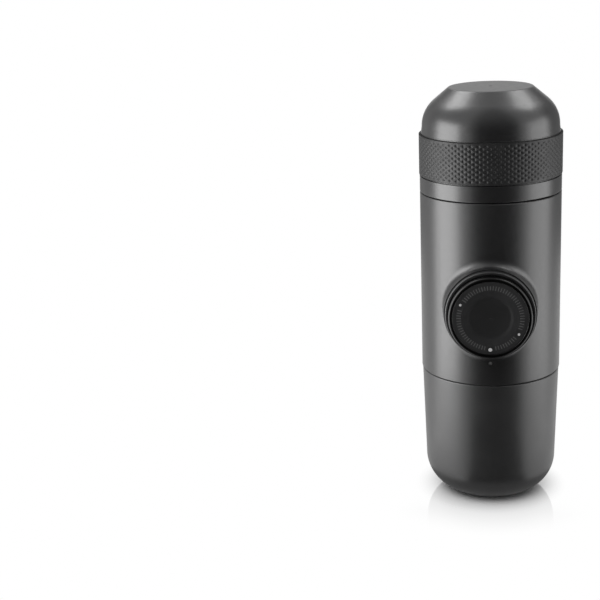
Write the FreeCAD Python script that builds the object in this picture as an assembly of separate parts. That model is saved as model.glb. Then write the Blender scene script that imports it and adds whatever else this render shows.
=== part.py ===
"""Handheld manual espresso maker, closed and upright. Millimetres, +Z up.

The origin is the centre of the water tank's foot. The piston knob points along -Y.
Lengths along the piston axis are called "out": out = -Y, measured from the body's axis.
"""
import FreeCAD, Part
import math
import os

V = FreeCAD.Vector

# ---- driving dimensions: outer form --------------------------------------------------
BODY_R = 29.5             # outer radius of the main body
TANK_H = 56.5             # foot to the seam between tank and body
BODY_H = 77.0             # seam to seam, main body
LIP_H = 7.0               # plain lip of the cup
GRIP_H = 17.9             # knurled band of the cup
DOME_H = 18.3             # dome above the band
EDGE_R = 0.4              # rounding of casing edges
FINE_EDGE = 0.2           # rounding of small edges

# ---- clearances ----------------------------------------------------------------------
SEAM_GAP = 0.3            # open line between casings that part
SEAT_GAP = 0.05           # between pieces that seat on each other
FIT = 0.1                 # radial clearance of pieces fitted in the casing
RUN_FIT = 0.1             # radial clearance of sliding guides
LOOSE = 0.3               # clearance of pieces that lift out
CUT_OVER = 1.0            # how far a cut reaches past the face it opens

# ---- water tank ----------------------------------------------------------------------
TANK_STEP = 0.3           # the mouth lies this far inside the casing's radius
TANK_DRAFT = 1.2          # the side narrows by this much down to the corner
TANK_CORNER_R = 15.6      # large rounding above the foot
TANK_WALL = 2.2
TANK_THREAD_WALL = 2.0    # wall behind the mouth's thread
GASKET_W = 1.8
GASKET_T = 1.4

# ---- screw threads -------------------------------------------------------------------
THREAD_PITCH = 3.0
RIB_ROOT_W = 1.9
RIB_CREST_W = 0.7
TANK_THREAD_DEPTH = 0.5
TANK_THREAD_GAP = 0.25    # crest to crest
TANK_THREAD_RIBS = 3
HEAD_THREAD_DEPTH = 0.4
HEAD_THREAD_GAP = 0.2
HEAD_THREAD_RIBS = 4

# ---- casing and chassis --------------------------------------------------------------
SHELL_WALL = 2.2
PLATE_T = 3.0             # base plate and brew head floor
COLLAR_H = 12.3           # threaded collar below the base plate
COLLAR_WALL = 2.0
LEDGE_W = 1.0             # ledge that carries the strainer
LEDGE_H = 3.3             # height of the space above the strainer
STRAINER_T = 0.6
STRAINER_HEAD_R = 3.0     # head of the strainer's screw, and the boss it pulls against
SIEVE_HOLE_R = 0.8
SIEVE_PITCH = 3.4
SIEVE_MARGIN = 1.0        # plain rim of a sieve
POST_CLEAR = 0.9          # between spacer posts and the piston guide
POST_Y = 8.0
POST_R = 2.6
SCREW_R = 1.35
SCREW_HEAD_H = 1.6
SLOT_W = 0.8
SLOT_DEPTH = 0.6
CHASSIS_SCREW_L = 12.0    # length inside the post
PEG_L = 5.0               # peg of the brew head in each post
VENT_Y = -14.0            # vent valve in the base plate
VENT_R = 4.0
VENT_FLAP_T = 0.85
VENT_STEM_R = 1.15
VENT_BEAD_R = 1.8
VENT_BEAD_T = 0.95
VENT_HOLES = 4
VENT_HOLE_R = 0.6
VENT_HOLE_RING_R = 2.6
INLET_WAY_R = 1.1         # suction hole in the base plate
TUBE_WALL = 1.1
TUBE_SEAT = 1.5           # depth of a tube's socket in plate and block
TUBE_BLOCK_SEAT = 2.0     # depth of the inlet tube in the valve block
TUBE_HEAD_SEAT = 1.2      # depth of the delivery tube in the brew head

# ---- piston boss, guide and knob -----------------------------------------------------
PISTON_UP = 32.3          # piston axis above the tank seam
BOSS_PROUD = 3.7          # boss above the casing
BOSS_R = 18.8
BOSS_DRAFT = 0.4          # the boss is this much wider where it leaves the casing
BOSS_FILLET = 3.4
FILLET_SHARE = 0.92       # a foot rounding stays below this share of the boss
BEZEL_STEP = 0.5          # bezel inside the boss's radius
BEZEL_GROOVE = 0.3
BEZEL_GROOVE_W = 1.2
BEZEL_FACE_UP = 1.0       # recessed face above the boss
BEZEL_LIP_UP = 2.6
BEZEL_LIP_W = 1.1
BEZEL_EDGE_R = 0.45
BEZEL_CLEAR = 0.6         # bezel bore round the plunger skirt
MARK_BELOW = 22.5         # index mark below the piston axis
MARK_R = 0.75
MARK_SUNK = 0.3
MARK_DEPTH = 1.0
TWIST_DEG = 60.0
KNOB_GAP = 0.3            # between knob and bezel lip, seen from the front
KNOB_UP = 6.3             # knob's face above the boss
KNOB_FLANGE_T = 3.0
KNOB_RIM_W = 1.6
KNOB_CAP_T = 1.5
KNOB_DISH_R = 11.5
KNOB_DISH_DEPTH = 1.0
KNOB_EDGE_R = 0.9
SLEEVE_R = 10.75
SLEEVE_WALL = 0.75
SLEEVE_L = 34.0           # steel tube with its flange
NECK_FLARE = 2.45         # the tube widens by this much into the flange
NECK_H = 3.4
SKIRT_STEP = 1.05         # skirt outside the steel tube's radius
SKIRT_BORE_R = 9.1
SKIRT_FOOT_GAP = 1.0      # skirt's foot above the valve block
SPIGOT_L = 8.0
SPIGOT_ROOT = 1.0
LUG_T = 3.0
LUG_PROUD = 1.2
LUG_DEG = 24.0
LUG_SLACK_DEG = 1.5
GUIDE_WALL = 2.5
GUIDE_FLANGE_W = 2.2
GUIDE_FLANGE_T = 2.0
DOT_RING_R = 13.2
DOT_R = 0.5
BIG_DOT_R = 0.75
DOT_PROUD = 0.06
DOT_DEPTH = 0.5
DOTS = ((0.0, BIG_DOT_R), (59.8, DOT_R), (-115.3, DOT_R))   # angle from below, size

# ---- pump ----------------------------------------------------------------------------
PUMP_BORE_R = 5.6
PUMP_WALL = 1.4
PUMP_SPARE = 0.4          # cylinder beyond the piston's travel
PUMP_PLUG_GAP = 4.325     # cylinder to spring plug, pushed home
PUMP_COLLAR_GAP = 0.5     # spring seat inside the skirt's bore
PUMP_COLLAR_T = 1.0
PUMP_SEAT_DEPTH = 1.2
PUMP_GASKET_T = 0.6
PUMP_GASKET_IN = 0.3      # gasket inside the cylinder's bore
PISTON_HEAD_L = 8.0
PISTON_GAP = 0.15
PISTON_END_GAP = 0.7      # piston to cylinder gasket, pushed home
SEAL_R = 0.8
ROD_R = 3.2
ROD_END_R = 2.0
ROD_END_BACK = 0.2        # rod's end behind the piston's face
CLIP_T = 0.8
CLIP_GROOVE = 0.5
CLIP_MOUTH_W = 1.6
PLUG_L = 7.2
SCREW_SPARE = 1.0         # end of a screw before the end of its hole
SPRING_WIRE_R = 0.6
SPRING_GAP = 0.4          # spring inside the skirt's bore
SPRING_TURNS = 13

# ---- valve block ---------------------------------------------------------------------
BLOCK_FRONT = 4.8         # vertical water way to the block's face
BLOCK_BACK = 4.9          # vertical water way to the block's back
BLOCK_HALF_W = 6.0
BLOCK_DISC_T = 2.5
BLOCK_BELOW = 13.8
BLOCK_ABOVE = 14.7
PORT_R = 2.0              # port between water way and cylinder
VALVE_BORE_R = 3.0
VALVE_NECK_R = 1.3
VALVE_NECK_HALF = 3.3
VALVE_SEAT_T = 2.0
VALVE_SEAT_BORE_R = 1.3
VALVE_SEAT_W = 0.25       # width of the seat's cone seen from above
VALVE_BALL_R = 2.0
VALVE_WIRE_R = 0.2
VALVE_SPRING_R = 1.6
VALVE_SPRING_TURNS = 5
VALVE_CAP_T = 1.6

# ---- brew head, basket and scoop -----------------------------------------------------
RING_H = 2.7              # first ring, above the casing
RING_STEP = 1.5           # first ring inside the casing's radius
RING_EDGE_R = 0.3
BREW_FLOOR_OVER = 5.3     # floor's underside above the piston guide
BREW_WALL = 1.3
CHAMBER_WALL = 1.8
GROOVE_BELOW = 15.5       # floor of the thread's groove below the casing's top edge
BREW_THREAD_UP = 4.0      # lowest rib above the groove's floor
OUTFLOW_R = 1.0
OUTFLOW_EDGE = 1.4        # outflow hole's centre to the chamber's wall
WATER_GAP = 1.5           # space below the basket
BASKET_WALL = 0.6
BASKET_RIM_BELOW = 2.3    # basket's rim below the casing's top edge
BASKET_BEND = 1.5
BASKET_GASKET_T = 0.7
BASKET_GASKET_EDGE = 0.2
SCOOP_WALL = 1.3
SCOOP_NOTCH_R = 5.0
BREW_GASKET_T = 1.5
BREW_GASKET_OVER = 0.2    # gasket inside the basket's bore
SCREEN_T = 0.6

# ---- outlet head ---------------------------------------------------------------------
HEAD_SKIRT_WALL = 1.4
HEAD_SKIRT_GAP = 1.5      # skirt above the groove's floor
HEAD_THREAD_UP = 2.0      # lowest rib above the skirt's foot
HEAD_GAP = 0.5            # open line between the two rings
STEP_TOP = 5.8            # second ring's top above the casing
STEP_TAPER = 0.3
STEP_RUN = 2.0
HEAD_CUP_GAP = 0.8        # head inside the cup
HEAD_END_GAP = 1.0        # head's end face below the cup's inner floor
HEAD_STRAIGHT = 23.0      # end of the straight side above the casing
HEAD_TAPER = 0.3
HEAD_SLOPE_DEG = 62.0
HEAD_SHOULDER = 11.35     # end face inside the head's side
HEAD_EDGE_R = 0.6
HEAD_WALL = 2.2
SHELF_W = 0.9             # shelf that holds the funnel down
SHELF_H = 4.0
FUNNEL_WALL = 1.3
FUNNEL_FOOT_W = 1.2
FUNNEL_NECK_H = 6.0
NOZZLE_SOCKET = 14.3      # funnel's neck to the head's end face
NOZZLE_LEAD = 1.0
NOZZLE_R = 5.2
NOZZLE_BORE_R = 2.8
NOZZLE_PROUD = 0.4
NOZZLE_RIM_R = 3.9
NOZZLE_RIM_H = 0.6
NOZZLE_EDGE_R = 0.3
O_RING_R = 0.7
O_RING_EDGE = 1.4         # O-ring's centre line inside the ring's radius

# ---- cup -----------------------------------------------------------------------------
CUP_SIDE_WALL = 1.85
CUP_WALL = 1.9            # wall of the dome
CUP_STEP_OVER = 1.0       # wide mouth reaches this far above the second ring
CUP_STEP_RUN = 1.3
CUP_TAPER_BELOW = 2.0     # inside starts to narrow this far below the dome
BAND_T = 0.85
BAND_PROUD = 0.2          # band outside the casing's radius
DOME_STEP = 0.8           # dome inside the casing's radius
DOME_DRAFT = 0.3
DOME_DRAFT_H = 2.6
DOME_SLOPE_DEG = 50.0     # slope of the shoulder from upright
DOME_SHOULDER = 11.4      # flat top inside the dome's side
DOME_EDGE_R = 1.4
DIMPLE_R = 0.9
DIMPLE_DEPTH = 0.3

# ---- places that follow from them: casings -------------------------------------------
BODY_TOP = TANK_H + BODY_H
GRIP_Z = BODY_TOP + LIP_H
DOME_Z = GRIP_Z + GRIP_H
TOP_Z = DOME_Z + DOME_H
PISTON_Z = TANK_H + PISTON_UP
SHELL_R = BODY_R - SHELL_WALL
INNER_R = SHELL_R - FIT
TANK_MOUTH_R = BODY_R - TANK_STEP
TANK_LOW_R = TANK_MOUTH_R - TANK_DRAFT
TANK_FOOT_R = TANK_LOW_R - TANK_CORNER_R
TANK_BORE_R = TANK_MOUTH_R - TANK_THREAD_WALL
COLLAR_R = TANK_BORE_R - 2 * TANK_THREAD_DEPTH - TANK_THREAD_GAP
GASKET_SEAT_R = COLLAR_R + GASKET_W + RUN_FIT
STRAINER_SEAT_R = COLLAR_R - COLLAR_WALL
STRAINER_WAY_R = STRAINER_SEAT_R - LEDGE_W
PLATE_Z = TANK_H + SEAM_GAP
PLATE_TOP = PLATE_Z + PLATE_T
COLLAR_Z = PLATE_Z - COLLAR_H
LEDGE_BOTTOM = PLATE_Z - LEDGE_H
SCREW_BORE_R = SCREW_R + SEAT_GAP
TUBE_R = VALVE_BORE_R - SEAT_GAP

# ---- places along the piston ---------------------------------------------------------
BACK_WALL_Y = math.sqrt((SHELL_R - LOOSE) ** 2 - BLOCK_HALF_W ** 2)
VALVE_Y = BACK_WALL_Y - BLOCK_BACK
BLOCK_FACE_OUT = BLOCK_FRONT - VALVE_Y
BOSS_OUT = BODY_R + BOSS_PROUD
BEZEL_R = BOSS_R - BEZEL_STEP
KNOB_R = BEZEL_R - BEZEL_LIP_W - KNOB_GAP
KNOB_TOP_OUT = BOSS_OUT + KNOB_UP
WEB_OUT = KNOB_TOP_OUT - KNOB_CAP_T - RUN_FIT
KNOB_SCREW_OUT = WEB_OUT - 1.5 * SLOT_DEPTH
FLANGE_LOW_OUT = KNOB_TOP_OUT - KNOB_FLANGE_T
SLEEVE_LOW_OUT = KNOB_TOP_OUT - SLEEVE_L
SLEEVE_BORE_R = SLEEVE_R - SLEEVE_WALL
PLUG_TOP_OUT = FLANGE_LOW_OUT - RUN_FIT
PLUG_LOW_OUT = PLUG_TOP_OUT - PLUG_L
SKIRT_R = SLEEVE_R + SKIRT_STEP
SKIRT_LOW_OUT = BLOCK_FACE_OUT + SKIRT_FOOT_GAP
GUIDE_R = SKIRT_R + RUN_FIT
GUIDE_OUTER_R = GUIDE_R + GUIDE_WALL
GUIDE_FLANGE_R = GUIDE_OUTER_R + GUIDE_FLANGE_W
GUIDE_LOW_OUT = BLOCK_FACE_OUT + SEAT_GAP
KEYWAY_R = SKIRT_R + LUG_PROUD + RUN_FIT
POST_X = GUIDE_OUTER_R + POST_CLEAR + POST_R
PUMP_R = PUMP_BORE_R + PUMP_WALL
PUMP_COLLAR_R = SKIRT_BORE_R - PUMP_COLLAR_GAP
PUMP_END_OUT = BLOCK_FACE_OUT - PUMP_SEAT_DEPTH + PUMP_GASKET_T
PISTON_LOW_OUT = PUMP_END_OUT + PISTON_END_GAP
PISTON_TOP_OUT = PISTON_LOW_OUT + PISTON_HEAD_L
PUMP_OPEN_OUT = PLUG_LOW_OUT - PUMP_PLUG_GAP
STROKE = PUMP_OPEN_OUT - PUMP_SPARE - PISTON_TOP_OUT
KEYWAY_END_OUT = SKIRT_LOW_OUT + LUG_T + STROKE + RUN_FIT
SEAL_OUT = PISTON_LOW_OUT + PISTON_HEAD_L / 2
SEAL_MEAN_R = PUMP_BORE_R - SEAT_GAP - SEAL_R
CLIP_OUT = PISTON_LOW_OUT + CLIP_T - RUN_FIT
SPRING_R = SKIRT_BORE_R - SPRING_GAP - SPRING_WIRE_R

# ---- places along the water way ------------------------------------------------------
VALVE_LOW_Z = PISTON_Z - BLOCK_BELOW
VALVE_HIGH_Z = PISTON_Z + BLOCK_ABOVE
INLET_SEAT_Z = VALVE_LOW_Z + TUBE_BLOCK_SEAT + SEAT_GAP
INLET_STOP_Z = PISTON_Z - VALVE_NECK_HALF
OUTLET_SEAT_Z = PISTON_Z + VALVE_NECK_HALF
OUTLET_CAP_Z = VALVE_HIGH_Z - TUBE_SEAT - SEAT_GAP - VALVE_CAP_T
BREW_FLOOR_Z = PISTON_Z + GUIDE_OUTER_R + BREW_FLOOR_OVER
BREW_FLOOR_TOP = BREW_FLOOR_Z + PLATE_T
GROOVE_FLOOR_Z = BODY_TOP - GROOVE_BELOW

# ---- places of basket, outlet head and cup -------------------------------------------
RING_R = BODY_R - RING_STEP
RING_TOP = BODY_TOP + RING_H
BREW_THREAD_R = INNER_R - BREW_WALL
SKIRT_OUT_R = BREW_THREAD_R - 2 * HEAD_THREAD_DEPTH - HEAD_THREAD_GAP
SKIRT_IN_R = SKIRT_OUT_R - HEAD_SKIRT_WALL
CHAMBER_OUT_R = SKIRT_IN_R - LOOSE
CHAMBER_R = CHAMBER_OUT_R - CHAMBER_WALL
BASKET_Z = BREW_FLOOR_TOP + WATER_GAP
BASKET_RIM_Z = BODY_TOP - BASKET_RIM_BELOW
BASKET_FLANGE_Z = BASKET_RIM_Z - BASKET_WALL
BASKET_FLANGE_R = CHAMBER_OUT_R - BASKET_GASKET_EDGE
BASKET_GASKET_Z = BASKET_FLANGE_Z - SEAT_GAP - BASKET_GASKET_T
BASKET_R = CHAMBER_R - LOOSE - RUN_FIT
BASKET_BORE_R = BASKET_R - BASKET_WALL
SCOOP_R = BASKET_BORE_R - 2 * LOOSE
BREW_GASKET_R = BASKET_BORE_R - BREW_GASKET_OVER
BREW_GASKET_Z = BASKET_RIM_Z + SEAT_GAP
SCREEN_Z = BREW_GASKET_Z + BREW_GASKET_T + SEAT_GAP
FUNNEL_Z = SCREEN_Z + SCREEN_T + SEAT_GAP
SHELF_Z = FUNNEL_Z + FUNNEL_WALL + SEAT_GAP
HEAD_FOOT_Z = GROOVE_FLOOR_Z + HEAD_SKIRT_GAP
HEAD_END_Z = TOP_Z - CUP_WALL - HEAD_END_GAP
FUNNEL_NECK_Z = HEAD_END_Z - NOZZLE_SOCKET
STEP_R = RING_R - RUN_FIT
STEP_Z = RING_TOP + HEAD_GAP
STEP_TOP_Z = BODY_TOP + STEP_TOP
BAND_R = BODY_R + BAND_PROUD
BAND_BORE_R = BAND_R - BAND_T
CUP_BORE_R = BAND_BORE_R - CUP_SIDE_WALL
CUP_LIP_BORE_R = RING_R + LOOSE
CUP_STEP_Z = STEP_TOP_Z + CUP_STEP_OVER
DOME_R = BODY_R - DOME_STEP
DOME_TOP_R = DOME_R - DOME_SHOULDER
HEAD_R = CUP_BORE_R - HEAD_CUP_GAP
HEAD_END_R = HEAD_R - HEAD_SHOULDER
O_RING_MEAN_R = RING_R - O_RING_EDGE


# ---- helpers: turned outlines --------------------------------------------------------
def end_of(item):
    """Where an outline's item ends."""
    return item[2] if item[0] == "arc" else item[:2]


def rounded(outline):
    """Gives each rounded corner as the start of its arc and the arc."""
    path = []
    for number, item in enumerate(outline):
        if item[0] == "arc" or len(item) == 2:
            path.append(item)
            continue
        corner = V(item[0], item[1], 0)
        back = (V(*end_of(outline[number - 1]), 0) - corner).normalize()
        after = outline[(number + 1) % len(outline)]
        ahead = (V(*end_of(after), 0) - corner).normalize()
        half = back.getAngle(ahead) / 2
        lead = item[2] / math.tan(half)
        start = corner + back * lead
        end = corner + ahead * lead
        middle = corner + (back + ahead).normalize() * (item[2] / math.sin(half) - item[2])
        path.append((start.x, start.y))
        path.append(("arc", (middle.x, middle.y), (end.x, end.y)))
    return path


def turned(outline):
    """Solid of revolution about Z. An item is a point (r, z), a corner (r, z, rounding)
    between straight runs, or ("arc", (r, z), (r, z)) through its first point to its second."""
    path = rounded(outline)
    edges = []
    here = path[0]
    for item in path[1:] + path[:1]:
        there = end_of(item)
        start, end = V(here[0], 0, here[1]), V(there[0], 0, there[1])
        if item[0] == "arc":
            edges.append(Part.Arc(start, V(item[1][0], 0, item[1][1]), end).toShape())
        elif start.distanceToPoint(end) > 1e-6:
            edges.append(Part.makeLine(start, end))
        here = there
    return Part.Face(Part.Wire(edges)).revolve(V(0, 0, 0), V(0, 0, 1), 360)


def shoulder(wall_r, wall_z, end_r, end_z, slope_deg, offset=0.0):
    """Profile that leaves a wall upright, bends in and runs straight to an end point.
    Gives the bend's middle and end, for a surface that lies offset inside."""
    slope = math.radians(slope_deg)
    sine, cosine = math.sin(slope), math.cos(slope)
    across, up = wall_r - end_r, end_z - wall_z
    bend = (up * sine - across * cosine) / (sine * sine - cosine * (1 - cosine))
    centre_r = wall_r - bend
    radius = bend - offset
    middle = (centre_r + radius * math.cos(slope / 2), wall_z + radius * math.sin(slope / 2))
    end = (centre_r + radius * cosine, wall_z + radius * sine)
    return middle, end


def shoulder_r(end_r, end_z, slope_deg, z, offset):
    """Radius at height z of the straight run that a shoulder ends in."""
    slope = math.radians(slope_deg)
    return end_r + (end_z - z) * math.tan(slope) - offset / math.cos(slope)


# ---- helpers: solids -----------------------------------------------------------------
def disc(radius, low, high, x=0.0, y=0.0):
    return Part.makeCylinder(radius, high - low, V(x, y, low))


def ring(inner, outer, low, high):
    return disc(outer, low, high).cut(disc(inner, low - CUT_OVER, high + CUT_OVER))


def torus(mean_r, section_r, z):
    return Part.makeTorus(mean_r, section_r, V(0, 0, z))


def fused(shapes):
    return shapes[0].multiFuse(shapes[1:]).removeSplitter()


def outward(shape, z=PISTON_Z):
    """Turns a shape built along +Z so that its Z runs out along -Y at height z."""
    laid = shape.copy()
    laid.rotate(V(0, 0, 0), V(1, 0, 0), 90)
    laid.translate(V(0, 0, z))
    return laid


def sector(inner, outer, low, high, start_deg, sweep_deg):
    """Part of a ring, from start_deg over sweep_deg, about Z."""
    wedge = Part.makeCylinder(outer, high - low, V(0, 0, low), V(0, 0, 1), sweep_deg)
    wedge.rotate(V(0, 0, 0), V(0, 0, 1), start_deg)
    return wedge.cut(disc(inner, low - CUT_OVER, high + CUT_OVER))


def dish_ball(radius, depth, top):
    """Cutter that sinks a round dish of this radius and depth into a face at height top."""
    ball_r = (radius ** 2 + depth ** 2) / (2 * depth)
    return Part.makeSphere(ball_r, V(0, 0, top + ball_r - depth))


def screw_slot(head_r, low, high, x=0.0, y=0.0):
    """Cutter for the slot across a screw's head."""
    length = 2 * (head_r + CUT_OVER)
    return Part.makeBox(length, SLOT_W, high - low, V(x - length / 2, y - SLOT_W / 2, low))


def thread_ribs(root_r, crest_r, lowest, count):
    """Thread drawn as plain ribs, one pitch apart, that grow out of the wall at root_r."""
    buried = root_r - math.copysign(FINE_EDGE, crest_r - root_r)
    ribs = []
    for number in range(count):
        z = lowest + number * THREAD_PITCH
        ribs.append(turned([(buried, z - RIB_ROOT_W / 2), (crest_r, z - RIB_CREST_W / 2),
                            (crest_r, z + RIB_CREST_W / 2), (buried, z + RIB_ROOT_W / 2)]))
    return ribs


def sieve_holes(low, high, inner, outer):
    """Drills for a perforated disc, in rings about one pitch apart."""
    drills = []
    rings = int((outer - inner) / SIEVE_PITCH)
    for number in range(rings):
        r = inner + (number + 0.5) * (outer - inner) / rings
        count = int(2 * math.pi * r / SIEVE_PITCH)
        for step in range(count):
            angle = 2 * math.pi * step / count
            drills.append(disc(SIEVE_HOLE_R, low - CUT_OVER, high + CUT_OVER,
                               r * math.cos(angle), r * math.sin(angle)))
    return Part.Compound(drills)


def coil(mean_r, wire_r, low, high, turns):
    """Compression spring between two flat seats, about Z."""
    start, length = low + wire_r, high - low - 2 * wire_r
    path = Part.makeHelix(length / turns, length, mean_r)
    path.translate(V(0, 0, start))
    section = Part.Wire(Part.makeCircle(wire_r, V(mean_r, 0, start), V(0, 1, 0)))
    sweep = Part.BRepOffsetAPI.MakePipeShell(path)
    sweep.setFrenetMode(True)
    sweep.add(section)
    sweep.build()
    sweep.makeSolid()
    return sweep.shape()


def post_places():
    return [(x, y) for x in (-POST_X, POST_X) for y in (-POST_Y, POST_Y)]


# ---- water tank ----------------------------------------------------------------------
def water_tank():
    mouth = TANK_H - SEAM_GAP
    rebate = PLATE_Z - GASKET_T - SEAM_GAP
    inner_corner = TANK_CORNER_R - TANK_WALL
    half = math.sqrt(0.5)
    body = turned([
        (0, 0), (TANK_FOOT_R, 0),
        ("arc", (TANK_FOOT_R + TANK_CORNER_R * half, TANK_CORNER_R * (1 - half)),
         (TANK_LOW_R, TANK_CORNER_R)),
        (TANK_MOUTH_R, mouth, EDGE_R), (GASKET_SEAT_R, mouth), (GASKET_SEAT_R, rebate),
        (TANK_BORE_R, rebate), (TANK_BORE_R, COLLAR_Z), (TANK_LOW_R - TANK_WALL, TANK_CORNER_R),
        ("arc", (TANK_FOOT_R + inner_corner * half, TANK_CORNER_R - inner_corner * half),
         (TANK_FOOT_R, TANK_WALL)),
        (0, TANK_WALL)])
    ribs = thread_ribs(TANK_BORE_R, TANK_BORE_R - TANK_THREAD_DEPTH, COLLAR_Z + THREAD_PITCH,
                       TANK_THREAD_RIBS)
    return fused([body] + ribs)


def tank_gasket():
    top = PLATE_Z - SEAT_GAP
    return ring(COLLAR_R + RUN_FIT, COLLAR_R + GASKET_W, top - GASKET_T, top)


# ---- chassis -------------------------------------------------------------------------
def base_plate():
    plate = disc(INNER_R, PLATE_Z, PLATE_TOP)
    collar = ring(STRAINER_SEAT_R, COLLAR_R, COLLAR_Z, PLATE_Z)
    ledge = ring(STRAINER_WAY_R, STRAINER_SEAT_R, LEDGE_BOTTOM, PLATE_Z)
    screw_boss = disc(STRAINER_HEAD_R, LEDGE_BOTTOM, PLATE_Z)
    ribs = thread_ribs(COLLAR_R, COLLAR_R + TANK_THREAD_DEPTH, COLLAR_Z + THREAD_PITCH / 2,
                       TANK_THREAD_RIBS)
    cuts = [disc(SCREW_BORE_R, LEDGE_BOTTOM - CUT_OVER, PLATE_TOP - SLOT_DEPTH),
            disc(INLET_WAY_R, PLATE_Z - CUT_OVER, PLATE_TOP, 0, VALVE_Y),
            disc(VALVE_BORE_R, PLATE_TOP - TUBE_SEAT, PLATE_TOP + CUT_OVER, 0, VALVE_Y)]
    body = fused([plate, collar, ledge, screw_boss] + ribs)
    return body.cut(Part.Compound(cuts + vent_holes() + post_screw_holes()))


def vent_holes():
    low, high = PLATE_Z - CUT_OVER, PLATE_TOP + CUT_OVER
    holes = [disc(VENT_STEM_R + SEAT_GAP, low, high, 0, VENT_Y)]
    for number in range(VENT_HOLES):
        angle = 2 * math.pi * (number + 0.5) / VENT_HOLES
        holes.append(disc(VENT_HOLE_R, low, high, VENT_HOLE_RING_R * math.cos(angle),
                          VENT_Y + VENT_HOLE_RING_R * math.sin(angle)))
    return holes


def post_screw_holes():
    holes = []
    for x, y in post_places():
        holes.append(disc(SCREW_BORE_R, PLATE_Z - CUT_OVER, PLATE_TOP + CUT_OVER, x, y))
        holes.append(disc(POST_R + SEAT_GAP, PLATE_Z - CUT_OVER, PLATE_Z + SCREW_HEAD_H, x, y))
    return holes


def inlet_strainer():
    top = LEDGE_BOTTOM - SEAT_GAP
    low = top - STRAINER_T
    plate = disc(STRAINER_SEAT_R - FIT, low, top)
    holes = sieve_holes(low, top, STRAINER_HEAD_R + SIEVE_MARGIN, STRAINER_WAY_R)
    return plate.cut(holes).cut(disc(SCREW_BORE_R, low - CUT_OVER, top + CUT_OVER))


def strainer_screw():
    top = LEDGE_BOTTOM - 2 * SEAT_GAP - STRAINER_T
    low = top - SCREW_HEAD_H
    screw = turned([(0, low), (STRAINER_HEAD_R, low, SLOT_DEPTH), (STRAINER_HEAD_R, top),
                    (SCREW_R, top), (SCREW_R, PLATE_TOP - SCREW_SPARE),
                    (0, PLATE_TOP - SCREW_SPARE)])
    return screw.cut(screw_slot(STRAINER_HEAD_R, low, low + SLOT_DEPTH))


def vent_valve():
    flap_top = PLATE_Z - SEAT_GAP
    bead_low = PLATE_TOP + SEAT_GAP
    flap = disc(VENT_R, flap_top - VENT_FLAP_T, flap_top, 0, VENT_Y)
    stem = disc(VENT_STEM_R, flap_top, bead_low, 0, VENT_Y)
    bead = disc(VENT_BEAD_R, bead_low, bead_low + VENT_BEAD_T, 0, VENT_Y)
    return fused([flap, stem, bead])


def spacer_posts():
    bores = [disc(SCREW_BORE_R, PLATE_TOP - CUT_OVER, BREW_FLOOR_Z + CUT_OVER, x, y)
             for x, y in post_places()]
    posts = [disc(POST_R, PLATE_TOP, BREW_FLOOR_Z, x, y) for x, y in post_places()]
    return Part.Compound([post.cut(bore) for post, bore in zip(posts, bores)])


def chassis_screws():
    low, top = PLATE_Z + SEAT_GAP, PLATE_Z + SCREW_HEAD_H - SEAT_GAP
    screws = []
    for x, y in post_places():
        head = disc(POST_R, low, top, x, y)
        shank = disc(SCREW_R, top, PLATE_TOP + CHASSIS_SCREW_L, x, y)
        slot = screw_slot(POST_R, low, low + SLOT_DEPTH, x, y)
        screws.append(fused([head, shank]).cut(slot))
    return Part.Compound(screws)


def tube(low, high):
    pipe = ring(VALVE_BORE_R - TUBE_WALL, TUBE_R, low, high)
    pipe.translate(V(0, VALVE_Y, 0))
    return pipe


def inlet_tube():
    return tube(PLATE_TOP - TUBE_SEAT, VALVE_LOW_Z + TUBE_BLOCK_SEAT)


def delivery_tube():
    return tube(VALVE_HIGH_Z - TUBE_SEAT, BREW_FLOOR_Z + TUBE_HEAD_SEAT)


# ---- body shell and boss -------------------------------------------------------------
def body_shell():
    inside = BODY_R / 2
    casing = disc(BODY_R, TANK_H, BODY_TOP)
    casing = casing.makeFillet(EDGE_R, [edge for edge in casing.Edges if edge.Closed])
    boss = outward(Part.makeCone(BOSS_R + BOSS_DRAFT, BOSS_R, BOSS_OUT - inside, V(0, 0, inside)))
    body = casing.fuse(boss)
    body = body.makeFillet(min(BOSS_FILLET, BOSS_PROUD * FILLET_SHARE), boss_foot(body, inside))
    cuts = [disc(SHELL_R, TANK_H - CUT_OVER, BODY_TOP + CUT_OVER),
            disc(GASKET_SEAT_R, TANK_H - CUT_OVER, PLATE_Z),
            outward(disc(GUIDE_OUTER_R + FIT, inside, BOSS_OUT + CUT_OVER)),
            outward(disc(GUIDE_FLANGE_R + FIT, BOSS_OUT - GUIDE_FLANGE_T, BOSS_OUT + CUT_OVER)),
            outward(disc(MARK_R + SEAT_GAP, BODY_R - MARK_DEPTH, BOSS_OUT), PISTON_Z - MARK_BELOW)]
    return body.cut(Part.Compound(cuts))


def boss_foot(body, inside):
    """Edges where the boss leaves the casing: in front, as wide and nearly as tall as it."""
    return [edge for edge in body.Edges
            if -(BODY_R + BOSS_PROUD / 2) < edge.BoundBox.YMin and edge.BoundBox.YMax < -inside
            and edge.BoundBox.XLength > BOSS_R and edge.BoundBox.ZLength > BOSS_R * FILLET_SHARE]


def lock_mark():
    pip = disc(MARK_R, BODY_R - MARK_DEPTH, BODY_R - MARK_SUNK)
    return outward(pip, PISTON_Z - MARK_BELOW)


def boss_bezel():
    low, face = BOSS_OUT + SEAT_GAP, BOSS_OUT + BEZEL_FACE_UP
    groove, lip = BOSS_OUT + BEZEL_GROOVE, BOSS_OUT + BEZEL_LIP_UP
    bore_r = SKIRT_R + BEZEL_CLEAR
    lip_in = BEZEL_R - BEZEL_LIP_W
    return outward(turned([
        (bore_r, low), (BEZEL_R - BEZEL_GROOVE_W, low), (BEZEL_R - BEZEL_GROOVE_W, groove),
        (BEZEL_R, groove), (BEZEL_R, lip, BEZEL_EDGE_R), (lip_in, lip, FINE_EDGE),
        (lip_in, face), (bore_r, face, EDGE_R)]))


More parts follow.
